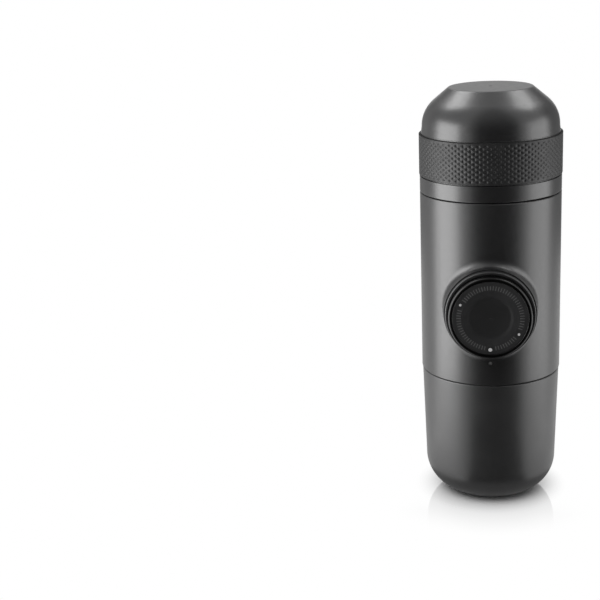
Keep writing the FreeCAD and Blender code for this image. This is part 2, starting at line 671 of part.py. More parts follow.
def piston_guide():
    barrel = ring(GUIDE_R, GUIDE_OUTER_R, GUIDE_LOW_OUT, BOSS_OUT)
    flange = ring(GUIDE_R, GUIDE_FLANGE_R, BOSS_OUT - GUIDE_FLANGE_T + SEAT_GAP, BOSS_OUT)
    body = fused([barrel, flange])
    for side in (0, 180):
        start = side - LUG_DEG / 2 - LUG_SLACK_DEG - TWIST_DEG
        sweep = LUG_DEG + TWIST_DEG + 2 * LUG_SLACK_DEG
        body = body.cut(sector(GUIDE_R - CUT_OVER, KEYWAY_R, GUIDE_LOW_OUT - CUT_OVER,
                               KEYWAY_END_OUT, start, sweep))
    return outward(body)


# ---- pump ----------------------------------------------------------------------------
def valve_block():
    face = -BLOCK_FACE_OUT
    plate = Part.makeCylinder(GUIDE_OUTER_R, BLOCK_DISC_T, V(0, face, PISTON_Z), V(0, 1, 0))
    block = Part.makeBox(2 * BLOCK_HALF_W, BACK_WALL_Y - face, VALVE_HIGH_Z - VALVE_LOW_Z,
                         V(-BLOCK_HALF_W, face, VALVE_LOW_Z))
    past_face = BLOCK_FACE_OUT + CUT_OVER
    cuts = [disc(VALVE_BORE_R, VALVE_LOW_Z - CUT_OVER, INLET_STOP_Z, 0, VALVE_Y),
            disc(VALVE_NECK_R, VALVE_LOW_Z, VALVE_HIGH_Z, 0, VALVE_Y),
            disc(VALVE_BORE_R, OUTLET_SEAT_Z, VALVE_HIGH_Z + CUT_OVER, 0, VALVE_Y),
            outward(disc(PUMP_R + FIT, BLOCK_FACE_OUT - PUMP_SEAT_DEPTH, past_face)),
            outward(disc(PORT_R, -VALVE_Y, past_face))]
    return fused([plate, block]).cut(Part.Compound(cuts))


def valve_seat(z):
    top = z + VALVE_SEAT_T
    seat = ring(VALVE_SEAT_BORE_R, TUBE_R, z, top)
    seat.translate(V(0, VALVE_Y, 0))
    return seat.cut(Part.makeSphere(VALVE_BALL_R + SEAT_GAP, ball_centre(z)))


def ball_centre(seat_z):
    up = math.sqrt(VALVE_BALL_R ** 2 - (VALVE_SEAT_BORE_R + VALVE_SEAT_W) ** 2)
    return V(0, VALVE_Y, seat_z + VALVE_SEAT_T + up)


def valve_ball(seat_z):
    return Part.makeSphere(VALVE_BALL_R, ball_centre(seat_z))


def valve_spring(seat_z, stop_z):
    up = math.sqrt(VALVE_BALL_R ** 2 - VALVE_SPRING_R ** 2)
    spring = coil(VALVE_SPRING_R, VALVE_WIRE_R, ball_centre(seat_z).z + up + VALVE_WIRE_R,
                  stop_z - SEAT_GAP, VALVE_SPRING_TURNS)
    spring.translate(V(0, VALVE_Y, 0))
    return spring


def inlet_valve_seat():
    return valve_seat(INLET_SEAT_Z)


def inlet_valve_ball():
    return valve_ball(INLET_SEAT_Z)


def inlet_valve_spring():
    return valve_spring(INLET_SEAT_Z, INLET_STOP_Z)


def outlet_valve_seat():
    return valve_seat(OUTLET_SEAT_Z)


def outlet_valve_ball():
    return valve_ball(OUTLET_SEAT_Z)


def outlet_valve_spring():
    return valve_spring(OUTLET_SEAT_Z, OUTLET_CAP_Z)


def outlet_valve_cap():
    cap = ring(VALVE_NECK_R, TUBE_R, OUTLET_CAP_Z, OUTLET_CAP_Z + VALVE_CAP_T)
    cap.translate(V(0, VALVE_Y, 0))
    return cap


def pump_cylinder():
    collar_low = BLOCK_FACE_OUT + SEAT_GAP
    barrel = ring(PUMP_BORE_R, PUMP_R, PUMP_END_OUT, PUMP_OPEN_OUT)
    collar = ring(PUMP_BORE_R, PUMP_COLLAR_R, collar_low, collar_low + PUMP_COLLAR_T)
    return outward(fused([barrel, collar]))


def cylinder_gasket():
    return outward(ring(PUMP_BORE_R - PUMP_GASKET_IN, PUMP_R, BLOCK_FACE_OUT - PUMP_SEAT_DEPTH,
                        PUMP_END_OUT))


def piston_head():
    groove_half = SEAL_R + SEAT_GAP
    body = ring(ROD_END_R + SEAT_GAP, PUMP_BORE_R - PISTON_GAP, PISTON_LOW_OUT, PISTON_TOP_OUT)
    recess = disc(ROD_R + FIT, PISTON_LOW_OUT - CUT_OVER, PISTON_LOW_OUT + 2 * CLIP_T)
    groove = ring(SEAL_MEAN_R - groove_half, PUMP_R, SEAL_OUT - groove_half, SEAL_OUT + groove_half)
    return outward(body.cut(recess).cut(groove))


def piston_seal():
    return outward(torus(SEAL_MEAN_R, SEAL_R, SEAL_OUT))


def piston_rod():
    end = disc(ROD_END_R, PISTON_LOW_OUT + ROD_END_BACK, PISTON_TOP_OUT + RUN_FIT)
    stem = disc(ROD_R, PISTON_TOP_OUT + RUN_FIT, PLUG_TOP_OUT - SEAT_GAP)
    groove = ring(ROD_END_R - CLIP_GROOVE, ROD_R, CLIP_OUT - SEAT_GAP, CLIP_OUT + CLIP_T + SEAT_GAP)
    screw_hole = disc(SCREW_BORE_R, PLUG_LOW_OUT, PLUG_TOP_OUT + CUT_OVER)
    return outward(fused([end, stem]).cut(groove).cut(screw_hole))


def rod_clip():
    clip = ring(ROD_END_R - CLIP_GROOVE + SEAT_GAP, ROD_R - FIT, CLIP_OUT, CLIP_OUT + CLIP_T)
    mouth = Part.makeBox(CLIP_MOUTH_W, ROD_R, CLIP_T, V(-CLIP_MOUTH_W / 2, 0, CLIP_OUT))
    return outward(clip.cut(mouth))


def return_spring():
    low = BLOCK_FACE_OUT + 2 * SEAT_GAP + PUMP_COLLAR_T
    return outward(coil(SPRING_R, SPRING_WIRE_R, low, PLUG_LOW_OUT - SEAT_GAP, SPRING_TURNS))


# ---- plunger and knob ----------------------------------------------------------------
def plunger_skirt():
    barrel = ring(SKIRT_BORE_R, SKIRT_R, SKIRT_LOW_OUT, SLEEVE_LOW_OUT - SEAT_GAP)
    spigot = ring(SKIRT_BORE_R, SLEEVE_BORE_R - SEAT_GAP, SLEEVE_LOW_OUT - SPIGOT_ROOT,
                  SLEEVE_LOW_OUT + SPIGOT_L)
    lugs = [sector(SKIRT_BORE_R, SKIRT_R + LUG_PROUD, SKIRT_LOW_OUT, SKIRT_LOW_OUT + LUG_T,
                   side - LUG_DEG / 2, LUG_DEG) for side in (0, 180)]
    return outward(fused([barrel, spigot] + lugs))


def piston_sleeve():
    rim_in = KNOB_R - KNOB_RIM_W
    low, neck_r = FLANGE_LOW_OUT, SLEEVE_R + NECK_FLARE
    screw_r, head_r = SCREW_BORE_R, ROD_R + FIT
    flare = (SLEEVE_R + NECK_FLARE * 0.3, low - NECK_H * 0.35)
    return outward(turned([
        (SLEEVE_BORE_R, SLEEVE_LOW_OUT), (SLEEVE_R, SLEEVE_LOW_OUT), (SLEEVE_R, low - NECK_H),
        ("arc", flare, (neck_r, low)), (KNOB_R, low, KNOB_EDGE_R),
        (KNOB_R, KNOB_TOP_OUT, KNOB_EDGE_R), (rim_in, KNOB_TOP_OUT, FINE_EDGE),
        (rim_in, WEB_OUT), (head_r, WEB_OUT), (head_r, KNOB_SCREW_OUT),
        (screw_r, KNOB_SCREW_OUT), (screw_r, low), (SLEEVE_BORE_R, low)]))


def spring_plug():
    return outward(ring(ROD_R + SEAT_GAP, SLEEVE_BORE_R - SEAT_GAP, PLUG_LOW_OUT, PLUG_TOP_OUT))


def knob_screw():
    head_low = KNOB_SCREW_OUT + SEAT_GAP
    head = disc(ROD_R, head_low, WEB_OUT)
    shank = disc(SCREW_R, PLUG_LOW_OUT + SCREW_SPARE, head_low)
    return outward(fused([head, shank]).cut(screw_slot(ROD_R, WEB_OUT - SLOT_DEPTH / 2, WEB_OUT)))


def knob_cap():
    rim = KNOB_R - KNOB_RIM_W - SEAT_GAP
    top = KNOB_TOP_OUT - RUN_FIT
    low = WEB_OUT + SEAT_GAP
    body = turned([(0, low), (rim, low), (rim, top, FINE_EDGE), (0, top)])
    sockets = [dot(angle, r + SEAT_GAP, top - DOT_DEPTH - SEAT_GAP, top + CUT_OVER)
               for angle, r in DOTS]
    dish = dish_ball(KNOB_DISH_R, KNOB_DISH_DEPTH, top)
    return outward(body.cut(Part.Compound(sockets)).cut(dish))


def dot(angle, r, low, high):
    """Post of a knob dot; the angle runs anticlockwise from straight below."""
    turn = math.radians(angle)
    return disc(r, low, high, DOT_RING_R * math.sin(turn), -DOT_RING_R * math.cos(turn))


def knob_dots():
    top = KNOB_TOP_OUT - RUN_FIT
    return outward(Part.Compound([dot(angle, r, top - DOT_DEPTH, top + DOT_PROUD)
                                  for angle, r in DOTS]))


# ---- brew head, basket and scoop -----------------------------------------------------
def brew_head():
    ring_low = BODY_TOP + SEAT_GAP
    body = turned([
        (0, BREW_FLOOR_Z), (INNER_R, BREW_FLOOR_Z), (INNER_R, ring_low),
        (RING_R, ring_low, FINE_EDGE), (RING_R, RING_TOP, RING_EDGE_R),
        (BREW_THREAD_R, RING_TOP), (BREW_THREAD_R, GROOVE_FLOOR_Z),
        (CHAMBER_OUT_R, GROOVE_FLOOR_Z), (CHAMBER_OUT_R, BASKET_GASKET_Z - SEAT_GAP),
        (CHAMBER_R, BASKET_GASKET_Z - SEAT_GAP), (CHAMBER_R, BREW_FLOOR_TOP), (0, BREW_FLOOR_TOP)])
    ribs = thread_ribs(BREW_THREAD_R, BREW_THREAD_R - HEAD_THREAD_DEPTH,
                       GROOVE_FLOOR_Z + BREW_THREAD_UP, HEAD_THREAD_RIBS)
    pegs = [disc(SCREW_R, BREW_FLOOR_Z - PEG_L, BREW_FLOOR_TOP, x, y) for x, y in post_places()]
    cuts = [disc(VALVE_BORE_R, BREW_FLOOR_Z - CUT_OVER, BREW_FLOOR_Z + TUBE_HEAD_SEAT + SEAT_GAP,
                 0, VALVE_Y),
            disc(OUTFLOW_R, BREW_FLOOR_Z, BREW_FLOOR_TOP + CUT_OVER, 0, CHAMBER_R - OUTFLOW_EDGE)]
    return fused([body] + ribs + pegs).cut(Part.Compound(cuts))


def basket_gasket():
    return ring(CHAMBER_R + BASKET_GASKET_EDGE, CHAMBER_OUT_R - BASKET_GASKET_EDGE,
                BASKET_GASKET_Z, BASKET_GASKET_Z + BASKET_GASKET_T)


def filter_basket():
    side = BASKET_BEND * (1 - math.sqrt(0.5))
    inner_bend = BASKET_BEND - BASKET_WALL
    inner_side = inner_bend * (1 - math.sqrt(0.5))
    floor = BASKET_Z + BASKET_WALL
    body = turned([
        (0, BASKET_Z), (BASKET_R - BASKET_BEND, BASKET_Z),
        ("arc", (BASKET_R - side, BASKET_Z + side), (BASKET_R, BASKET_Z + BASKET_BEND)),
        (BASKET_R, BASKET_FLANGE_Z), (BASKET_FLANGE_R, BASKET_FLANGE_Z),
        (BASKET_FLANGE_R, BASKET_RIM_Z), (BASKET_BORE_R, BASKET_RIM_Z),
        (BASKET_BORE_R, BASKET_Z + BASKET_BEND),
        ("arc", (BASKET_BORE_R - inner_side, floor + inner_side), (BASKET_R - BASKET_BEND, floor)),
        (0, floor)])
    return body.cut(sieve_holes(BASKET_Z, floor, 0, BASKET_R - BASKET_BEND - SIEVE_MARGIN))


def coffee_scoop():
    low = BASKET_Z + BASKET_WALL + LOOSE
    high = BASKET_RIM_Z - LOOSE
    cup = disc(SCOOP_R, low, high)
    hollow = disc(SCOOP_R - SCOOP_WALL, low + SCOOP_WALL, high + CUT_OVER)
    notch = Part.makeCylinder(SCOOP_NOTCH_R, 3 * SCOOP_R, V(-1.5 * SCOOP_R, 0, high), V(1, 0, 0))
    return cup.cut(hollow).cut(notch)


# ---- outlet head ---------------------------------------------------------------------
def outlet_head():
    straight = BODY_TOP + HEAD_STRAIGHT
    wall_r = HEAD_R - HEAD_TAPER
    ends = (HEAD_END_R, HEAD_END_Z, HEAD_SLOPE_DEG)
    middle, end = shoulder(wall_r, straight, *ends)
    in_middle, in_end = shoulder(wall_r, straight, *ends, HEAD_WALL)
    roof = HEAD_END_Z - HEAD_WALL
    shelf_r = SKIRT_IN_R - SHELF_W
    socket_r = NOZZLE_R + SEAT_GAP
    body = turned([
        (SKIRT_IN_R, HEAD_FOOT_Z), (SKIRT_OUT_R, HEAD_FOOT_Z), (SKIRT_OUT_R, STEP_Z),
        (STEP_R, STEP_Z, RING_EDGE_R), (STEP_R - STEP_TAPER, STEP_TOP_Z),
        (HEAD_R, STEP_TOP_Z + STEP_RUN), (wall_r, straight), ("arc", middle, end),
        (HEAD_END_R, HEAD_END_Z, HEAD_EDGE_R), (socket_r, HEAD_END_Z), (socket_r, roof),
        (shoulder_r(*ends, roof, HEAD_WALL), roof), in_end,
        ("arc", in_middle, (wall_r - HEAD_WALL, straight)),
        (shelf_r, SHELF_Z + SHELF_H), (shelf_r, SHELF_Z), (SKIRT_IN_R, SHELF_Z)])
    ribs = thread_ribs(SKIRT_OUT_R, SKIRT_OUT_R + HEAD_THREAD_DEPTH,
                       HEAD_FOOT_Z + HEAD_THREAD_UP, HEAD_THREAD_RIBS)
    groove_half = O_RING_R + RUN_FIT
    groove = ring(O_RING_MEAN_R - groove_half, O_RING_MEAN_R + groove_half, STEP_Z - CUT_OVER,
                  RING_TOP + 2 * O_RING_R + 2 * SEAT_GAP)
    return fused([body] + ribs).cut(groove)


def head_seal():
    return torus(O_RING_MEAN_R, O_RING_R, RING_TOP + SEAT_GAP + O_RING_R)


def brew_gasket():
    return ring(BREW_GASKET_R, SKIRT_IN_R - SEAT_GAP, BREW_GASKET_Z, BREW_GASKET_Z + BREW_GASKET_T)


def brew_screen():
    plate = disc(SKIRT_IN_R - SEAT_GAP, SCREEN_Z, SCREEN_Z + SCREEN_T)
    return plate.cut(sieve_holes(SCREEN_Z, SCREEN_Z + SCREEN_T, 0, BREW_GASKET_R - SIEVE_MARGIN))


def outlet_funnel():
    neck_r = NOZZLE_R + FUNNEL_WALL
    foot, top = FUNNEL_Z + FUNNEL_WALL, FUNNEL_NECK_Z + FUNNEL_NECK_H
    rim_r, socket_r = SKIRT_IN_R - SEAT_GAP, NOZZLE_R + SEAT_GAP
    return turned([
        (BREW_GASKET_R, FUNNEL_Z), (rim_r, FUNNEL_Z), (rim_r, foot),
        (BREW_GASKET_R + EDGE_R, foot), (neck_r, FUNNEL_NECK_Z), (neck_r, top), (socket_r, top),
        (socket_r, FUNNEL_NECK_Z + NOZZLE_LEAD), (NOZZLE_BORE_R, FUNNEL_NECK_Z),
        (BREW_GASKET_R - FUNNEL_FOOT_W, foot)])


def outlet_nozzle():
    low = FUNNEL_NECK_Z + NOZZLE_LEAD + SEAT_GAP
    tip = HEAD_END_Z + NOZZLE_PROUD
    rim = tip - NOZZLE_RIM_H
    return turned([
        (NOZZLE_BORE_R, low), (NOZZLE_R, low), (NOZZLE_R, tip, NOZZLE_EDGE_R),
        (NOZZLE_RIM_R, tip, FINE_EDGE), (NOZZLE_RIM_R, rim), (NOZZLE_BORE_R, rim)])


# ---- cup -----------------------------------------------------------------------------
def cup_shell():
    low = BODY_TOP + SEAM_GAP
    slope_z = DOME_Z + DOME_DRAFT_H
    wall_r = DOME_R - DOME_DRAFT
    ends = (DOME_TOP_R, TOP_Z, DOME_SLOPE_DEG)
    middle, end = shoulder(wall_r, slope_z, *ends)
    in_middle, in_end = shoulder(wall_r, slope_z, *ends, CUP_WALL)
    roof = TOP_Z - CUP_WALL
    body = turned([
        (CUP_LIP_BORE_R, CUP_STEP_Z), (CUP_LIP_BORE_R, low, FINE_EDGE), (BODY_R, low, EDGE_R),
        (BODY_R, GRIP_Z, FINE_EDGE), (BAND_BORE_R, GRIP_Z), (BAND_BORE_R, DOME_Z),
        (DOME_R, DOME_Z, FINE_EDGE / 2), (wall_r, slope_z), ("arc", middle, end),
        (DOME_TOP_R, TOP_Z, DOME_EDGE_R), (0, TOP_Z), (0, roof),
        (shoulder_r(*ends, roof, CUP_WALL), roof), in_end,
        ("arc", in_middle, (wall_r - CUP_WALL, slope_z)), (CUP_BORE_R, DOME_Z - CUP_TAPER_BELOW),
        (CUP_BORE_R, CUP_STEP_Z + CUP_STEP_RUN)])
    return body.cut(dish_ball(DIMPLE_R, DIMPLE_DEPTH, TOP_Z))


def cup_grip_band():
    return ring(BAND_BORE_R + SEAT_GAP, BAND_R, GRIP_Z + SEAT_GAP, DOME_Z - SEAT_GAP)


# ---- every piece, from the foot to the cup -------------------------------------------
PIECES = (
    water_tank, tank_gasket,
    base_plate, inlet_strainer, strainer_screw, vent_valve, spacer_posts, chassis_screws,
    inlet_tube, delivery_tube, body_shell, lock_mark, boss_bezel, piston_guide,
    valve_block, inlet_valve_seat, inlet_valve_ball, inlet_valve_spring,
    outlet_valve_seat, outlet_valve_ball, outlet_valve_spring, outlet_valve_cap,
    pump_cylinder, cylinder_gasket, piston_head, piston_seal, piston_rod, rod_clip,
    return_spring, plunger_skirt, piston_sleeve, spring_plug, knob_screw, knob_cap, knob_dots,
    brew_head, basket_gasket, filter_basket, coffee_scoop,
    outlet_head, head_seal, brew_gasket, brew_screen, outlet_funnel, outlet_nozzle,
    cup_shell, cup_grip_band,
)

os.makedirs("parts", exist_ok=True)
for build in PIECES:
    shape = build()
    valid = all(solid.isValid() for solid in shape.Solids)
    print(build.__name__, "solids", len(shape.Solids), "volume", round(shape.Volume, 1),
          "valid", valid)
    shape.exportStep("parts/" + build.__name__ + ".step")
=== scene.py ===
import math

import bmesh
import bpy
from mathutils import Matrix, Vector

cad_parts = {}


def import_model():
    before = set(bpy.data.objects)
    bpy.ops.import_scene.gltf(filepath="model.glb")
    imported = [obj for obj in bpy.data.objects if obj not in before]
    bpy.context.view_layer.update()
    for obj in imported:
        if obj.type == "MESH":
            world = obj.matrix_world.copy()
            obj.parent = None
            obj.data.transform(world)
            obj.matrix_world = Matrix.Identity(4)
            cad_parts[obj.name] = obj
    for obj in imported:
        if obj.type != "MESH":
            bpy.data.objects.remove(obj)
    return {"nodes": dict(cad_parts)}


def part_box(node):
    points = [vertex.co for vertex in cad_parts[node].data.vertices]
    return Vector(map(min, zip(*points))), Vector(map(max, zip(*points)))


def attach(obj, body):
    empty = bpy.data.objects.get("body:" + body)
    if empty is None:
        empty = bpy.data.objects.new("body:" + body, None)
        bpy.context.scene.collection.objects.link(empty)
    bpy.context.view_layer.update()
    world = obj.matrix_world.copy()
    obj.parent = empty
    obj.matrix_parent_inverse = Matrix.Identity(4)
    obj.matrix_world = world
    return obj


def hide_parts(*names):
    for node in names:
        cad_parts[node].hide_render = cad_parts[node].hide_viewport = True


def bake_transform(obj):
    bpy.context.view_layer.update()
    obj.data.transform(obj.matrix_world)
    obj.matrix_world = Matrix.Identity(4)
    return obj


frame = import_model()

bl_info = {
    "name": "Handheld Espresso Maker",
    "version": (1, 0, 0),
    "blender": (4, 5, 0),
    "location": "3D View > Sidebar > Espresso Maker",
    "description": "Finishes, knurled grip, ticks, springs and studio of an espresso maker",
    "category": "Object",
}

MM = 0.001

# Frame places, in metres
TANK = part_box("water_tank")
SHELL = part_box("body_shell")
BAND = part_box("cup_grip_band")
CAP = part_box("knob_cap")
KNOB_X = (CAP[0].x + CAP[1].x) / 2
KNOB_Z = (CAP[0].z + CAP[1].z) / 2
KNOB_FACE_Y = CAP[0].y
RETURN_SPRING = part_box("return_spring")
INLET_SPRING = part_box("inlet_valve_spring")
OUTLET_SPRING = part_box("outlet_valve_spring")


# ---- properties

def length(name, text, size):
    """A length property, in metres."""
    return bpy.props.FloatProperty(
        name=name, description=text, default=size, min=0.0, precision=5, subtype="DISTANCE",
        unit="LENGTH")


def share(name, text, size):
    """A property from 0 to 1."""
    return bpy.props.FloatProperty(
        name=name, description=text, default=size, min=0.0, max=1.0, subtype="FACTOR")


def colour(name, text, grey, blue=0.0):
    """A colour property: a grey, with a little more blue where it is cool."""
    return bpy.props.FloatVectorProperty(
        name=name, description=text, default=(grey, grey, grey + blue), min=0.0, max=1.0, size=3,
        subtype="COLOR")


def angle(name, text, degrees):
    """An angle property."""
    return bpy.props.FloatProperty(
        name=name, description=text, default=math.radians(degrees), subtype="ANGLE")


def strength(name, text, size):
    """A brightness property."""
    return bpy.props.FloatProperty(name=name, description=text, default=size, min=0.0)


def number(name, text, size, least):
    """A count property."""
    return bpy.props.IntProperty(name=name, description=text, default=size, min=least)


class CasingSettings(bpy.types.PropertyGroup):
    """Plastic and paint of the casing and of the parts in it."""
    body_colour: colour("Body", "Colour of the body's satin coat", 0.009, 0.0004)
    body_roughness: share("Body Roughness", "How matt the body's coat is", 0.36)
    bezel_roughness: share("Bezel Roughness", "How matt the bezel's coat is", 0.46)
    cup_colour: colour("Cup", "Colour of the cup's plastic", 0.009, 0.0004)
    cup_roughness: share("Cup Roughness", "How matt the cup is", 0.31)
    tank_colour: colour("Tank", "Colour of the water tank's plastic", 0.016, 0.0004)
    tank_roughness: share("Tank Roughness", "How matt the water tank is", 0.4)
    knob_colour: colour("Knob Face", "Colour of the knob's dished face", 0.014, 0.0004)
    knob_roughness: share("Knob Roughness", "How matt the knob's face is", 0.36)
    dots_colour: colour("Dots", "Colour of the knob's index dots", 0.42)
    dots_roughness: share("Dots Roughness", "How matt the index dots are", 0.45)
    lock_colour: colour("Lock Mark", "Colour of the pip under the boss", 0.11)
    lock_roughness: share("Lock Roughness", "How matt the pip is", 0.4)
    black_colour: colour("Black Parts", "Colour of the skirt, guide and scoop", 0.006)
    black_roughness: share("Black Roughness", "How matt the black parts are", 0.33)
    inner_colour: colour("Inner Parts", "Colour of the pump and chassis plastic", 0.16, 0.004)
    inner_roughness: share("Inner Roughness", "How matt the inner plastic is", 0.42)
    nozzle_colour: colour("Nozzle", "Colour of the outlet nozzle", 0.3)
    nozzle_roughness: share("Nozzle Roughness", "How matt the nozzle is", 0.2)
    grain: length("Grain", "Size of the moulded surface's grain", 0.3 * MM)
    grain_depth: length("Grain Depth", "Depth of the moulded grain", 0.006 * MM)


class MetalSettings(bpy.types.PropertyGroup):
    """Steel of the plunger, filter, screws and rods."""
    polished_colour: colour("Polished", "Colour of the polished steel", 0.72, 0.006)
    polished_roughness: share("Polished Roughness", "How dull the plunger's tube is", 0.11)
    flange_colour: colour("Flange", "Colour of the plating on the knob's flange", 0.035)
    flange_roughness: share("Flange Roughness", "How dull the flange's plating is", 0.3)
    sheet_colour: colour("Sheet", "Colour of the brushed sheet steel", 0.62, 0.004)
    sheet_roughness: share("Sheet Roughness", "How dull the sheet steel is", 0.3)
    turned_colour: colour("Turned", "Colour of screws, rods and tubes", 0.55, 0.004)
    turned_roughness: share("Turned Roughness", "How dull the turned steel is", 0.24)
    hairline: length("Hairline", "Width of one polishing hairline", 0.12 * MM)
    hair_depth: length("Hairline Depth", "Depth of the hairlines in other steel", 0.003 * MM)
    polish_depth: length("Polish Depth", "Depth of the hairlines in the plunger's tube", 0.001 * MM)


class SealSettings(bpy.types.PropertyGroup):
    """Silicone gaskets and rubber seals."""
    silicone_colour: colour("Silicone", "Colour of the grey gaskets", 0.25)
    rubber_colour: colour("Rubber", "Colour of the black seals", 0.02)
    roughness: share("Roughness", "How matt the seals are", 0.5)
    grain: length("Grain", "Size of the seals' grain", 0.25 * MM)
    silicone_depth: length("Silicone Depth", "Depth of the gaskets' grain", 0.004 * MM)
    rubber_depth: length("Rubber Depth", "Depth of the black seals' grain", 0.006 * MM)


class GripSettings(bpy.types.PropertyGroup):
    """Knurled band of the cup."""
    band_colour: colour("Colour", "Colour of the band", 0.009, 0.0003)
    roughness: share("Roughness", "How matt the band is", 0.46)
    grain: length("Grain", "Size of the rubber's grain", 0.2 * MM)
    grain_depth: length("Grain Depth", "Depth of the rubber's grain", 0.01 * MM)
    columns: number("Columns", "Pits of one row round the band", 60, 12)
    rows: number("Rows", "Rows of pits, with staggered rows between", 8, 2)
    row_pitch: length("Row Pitch", "Distance between the rows", 2.04 * MM)
    pit_width: length("Pit Width", "Width of a pit round the band", 1.2 * MM)
    pit_height: length("Pit Height", "Height of a pit", 1.2 * MM)
    pit_depth: length("Pit Depth", "Depth of a pit", 0.23 * MM)
    edge: length("Edge", "Rounding of the band's edges", 0.25 * MM)
    gap: length("Gap", "Groove at the band's upper and lower edges", 0.4 * MM)
    wall: length("Wall", "Thickness of the band", 0.8 * MM)


class TickSettings(bpy.types.PropertyGroup):
    """Scale of plain ticks on the knob's face."""
    tick_colour: colour("Colour", "Colour of the ticks", 0.09)
    roughness: share("Roughness", "How matt the ticks are", 0.5)
    count: number("Count", "Ticks of a full ring", 72, 8)
    ring: length("Ring", "Radius of the ring of ticks", 12.7 * MM)
    tick_length: length("Length", "Length of a tick, along the knob's radius", 1.8 * MM)
    tick_width: length("Width", "Width of a tick", 0.26 * MM)
    proud: length("Proud", "Height of a tick over the face", 0.03 * MM)
    clear: angle("Clear", "Space on each side of an index dot", 9.0)


class SpringSettings(bpy.types.PropertyGroup):
    """Coil springs of the pump and its valves."""
    return_turns: number("Return Turns", "Turns of the return spring", 13, 3)
    return_wire: length("Return Wire", "Radius of the return spring's wire", 0.6 * MM)
    valve_turns: number("Valve Turns", "Turns of a valve spring", 5, 3)
    valve_wire: length("Valve Wire", "Radius of a valve spring's wire", 0.2 * MM)
    wire_colour: colour("Colour", "Colour of the wire", 0.5, 0.005)
    roughness: share("Roughness", "How dull the wire is", 0.3)
    hairline: length("Hairline", "Width of one line in the wire", 0.3 * MM)
    hair_depth: length("Hairline Depth", "Depth of the lines in the wire", 0.002 * MM)


class StudioSettings(bpy.types.PropertyGroup):
    """Floor, lamps and camera."""
    eye: bpy.props.FloatVectorProperty(
        name="Eye", description="Place of the camera", default=(0.0, -0.5495, 0.2480), size=3,
        subtype="TRANSLATION", unit="LENGTH")
    pitch: angle("Pitch", "How far the camera looks down", 16.358)
    yaw: angle("Yaw", "How far the camera turns to the left", 8.568)
    roll: angle("Roll", "How far the camera leans", -2.400)
    lens: bpy.props.FloatProperty(
        name="Lens", description="Focal length", default=79.06, min=20.0, subtype="DISTANCE_CAMERA")
    left_light: strength("Left Lamp", "Brightness of the left softbox", 4.9)
    right_light: strength("Right Lamp", "Brightness of the right softbox", 1.95)
    upper_left_light: strength("Upper Left Lamp", "Brightness of the upper left softbox", 5.2)
    upper_right_light: strength("Upper Right Lamp", "Brightness of the upper right softbox", 4.0)
    day_light: strength("Day Lamp", "Brightness of the large lamp", 3.5)
    fill: strength("Fill", "Brightness of the room", 0.45)
    floor_radius: length("Floor", "Radius of the floor", 4.0)


# ---- node trees

class Tree:
    """Adds and links the nodes of one node tree."""

    def __init__(self, tree):
        self.tree = tree

    def add(self, kind, inputs=None, **settings):
        """A new node with its settings, and values or links for its sockets by name or number."""
        node = self.tree.nodes.new(kind)
        for name, value in settings.items():
            setattr(node, name, value)
        for name, value in (inputs or {}).items():
            self.feed(node.inputs[name], value)
        return node

    def feed(self, socket, value):
        """Sets a socket, or links it to another node's socket."""
        if isinstance(value, bpy.types.Node):
            value = value.outputs[0]
        if isinstance(value, bpy.types.NodeSocket):
            self.tree.links.new(value, socket)
        else:
            socket.default_value = value

    def math(self, operation, *values):
        """The result of a Math node."""
        return self.add("ShaderNodeMath", dict(enumerate(values)), operation=operation).outputs[0]

    def split(self, vector):
        """The X, Y and Z sockets of a vector."""
        return self.add("ShaderNodeSeparateXYZ", {0: vector}).outputs

    def ramp(self, value, start, end, low=0.0, high=1.0, smooth=False):
        """low at start, high at end, and an even or smooth change between them."""
        kind = "SMOOTHSTEP" if smooth else "LINEAR"
        return self.add("ShaderNodeMapRange", {
            "Value": value, "From Min": start, "From Max": end, "To Min": low, "To Max": high,
        }, interpolation_type=kind).outputs[0]


MIX_SOCKETS = {"FLOAT": (2, 3, 0), "RGBA": (6, 7, 2)}   # a Mix node's two inputs and its output
NOISE_SPAN = (0.3, 0.7)     # most of a noise pattern lies between these
HAIR_ROUGHNESS = 0.6        # how strong the finest hairlines are
# Painted shade in seams and at the grip band's edges: black and fully rough
SEAM_SHADE_COLOUR = (0.002, 0.002, 0.002)
SEAM_SHADE_ROUGHNESS = 1.0


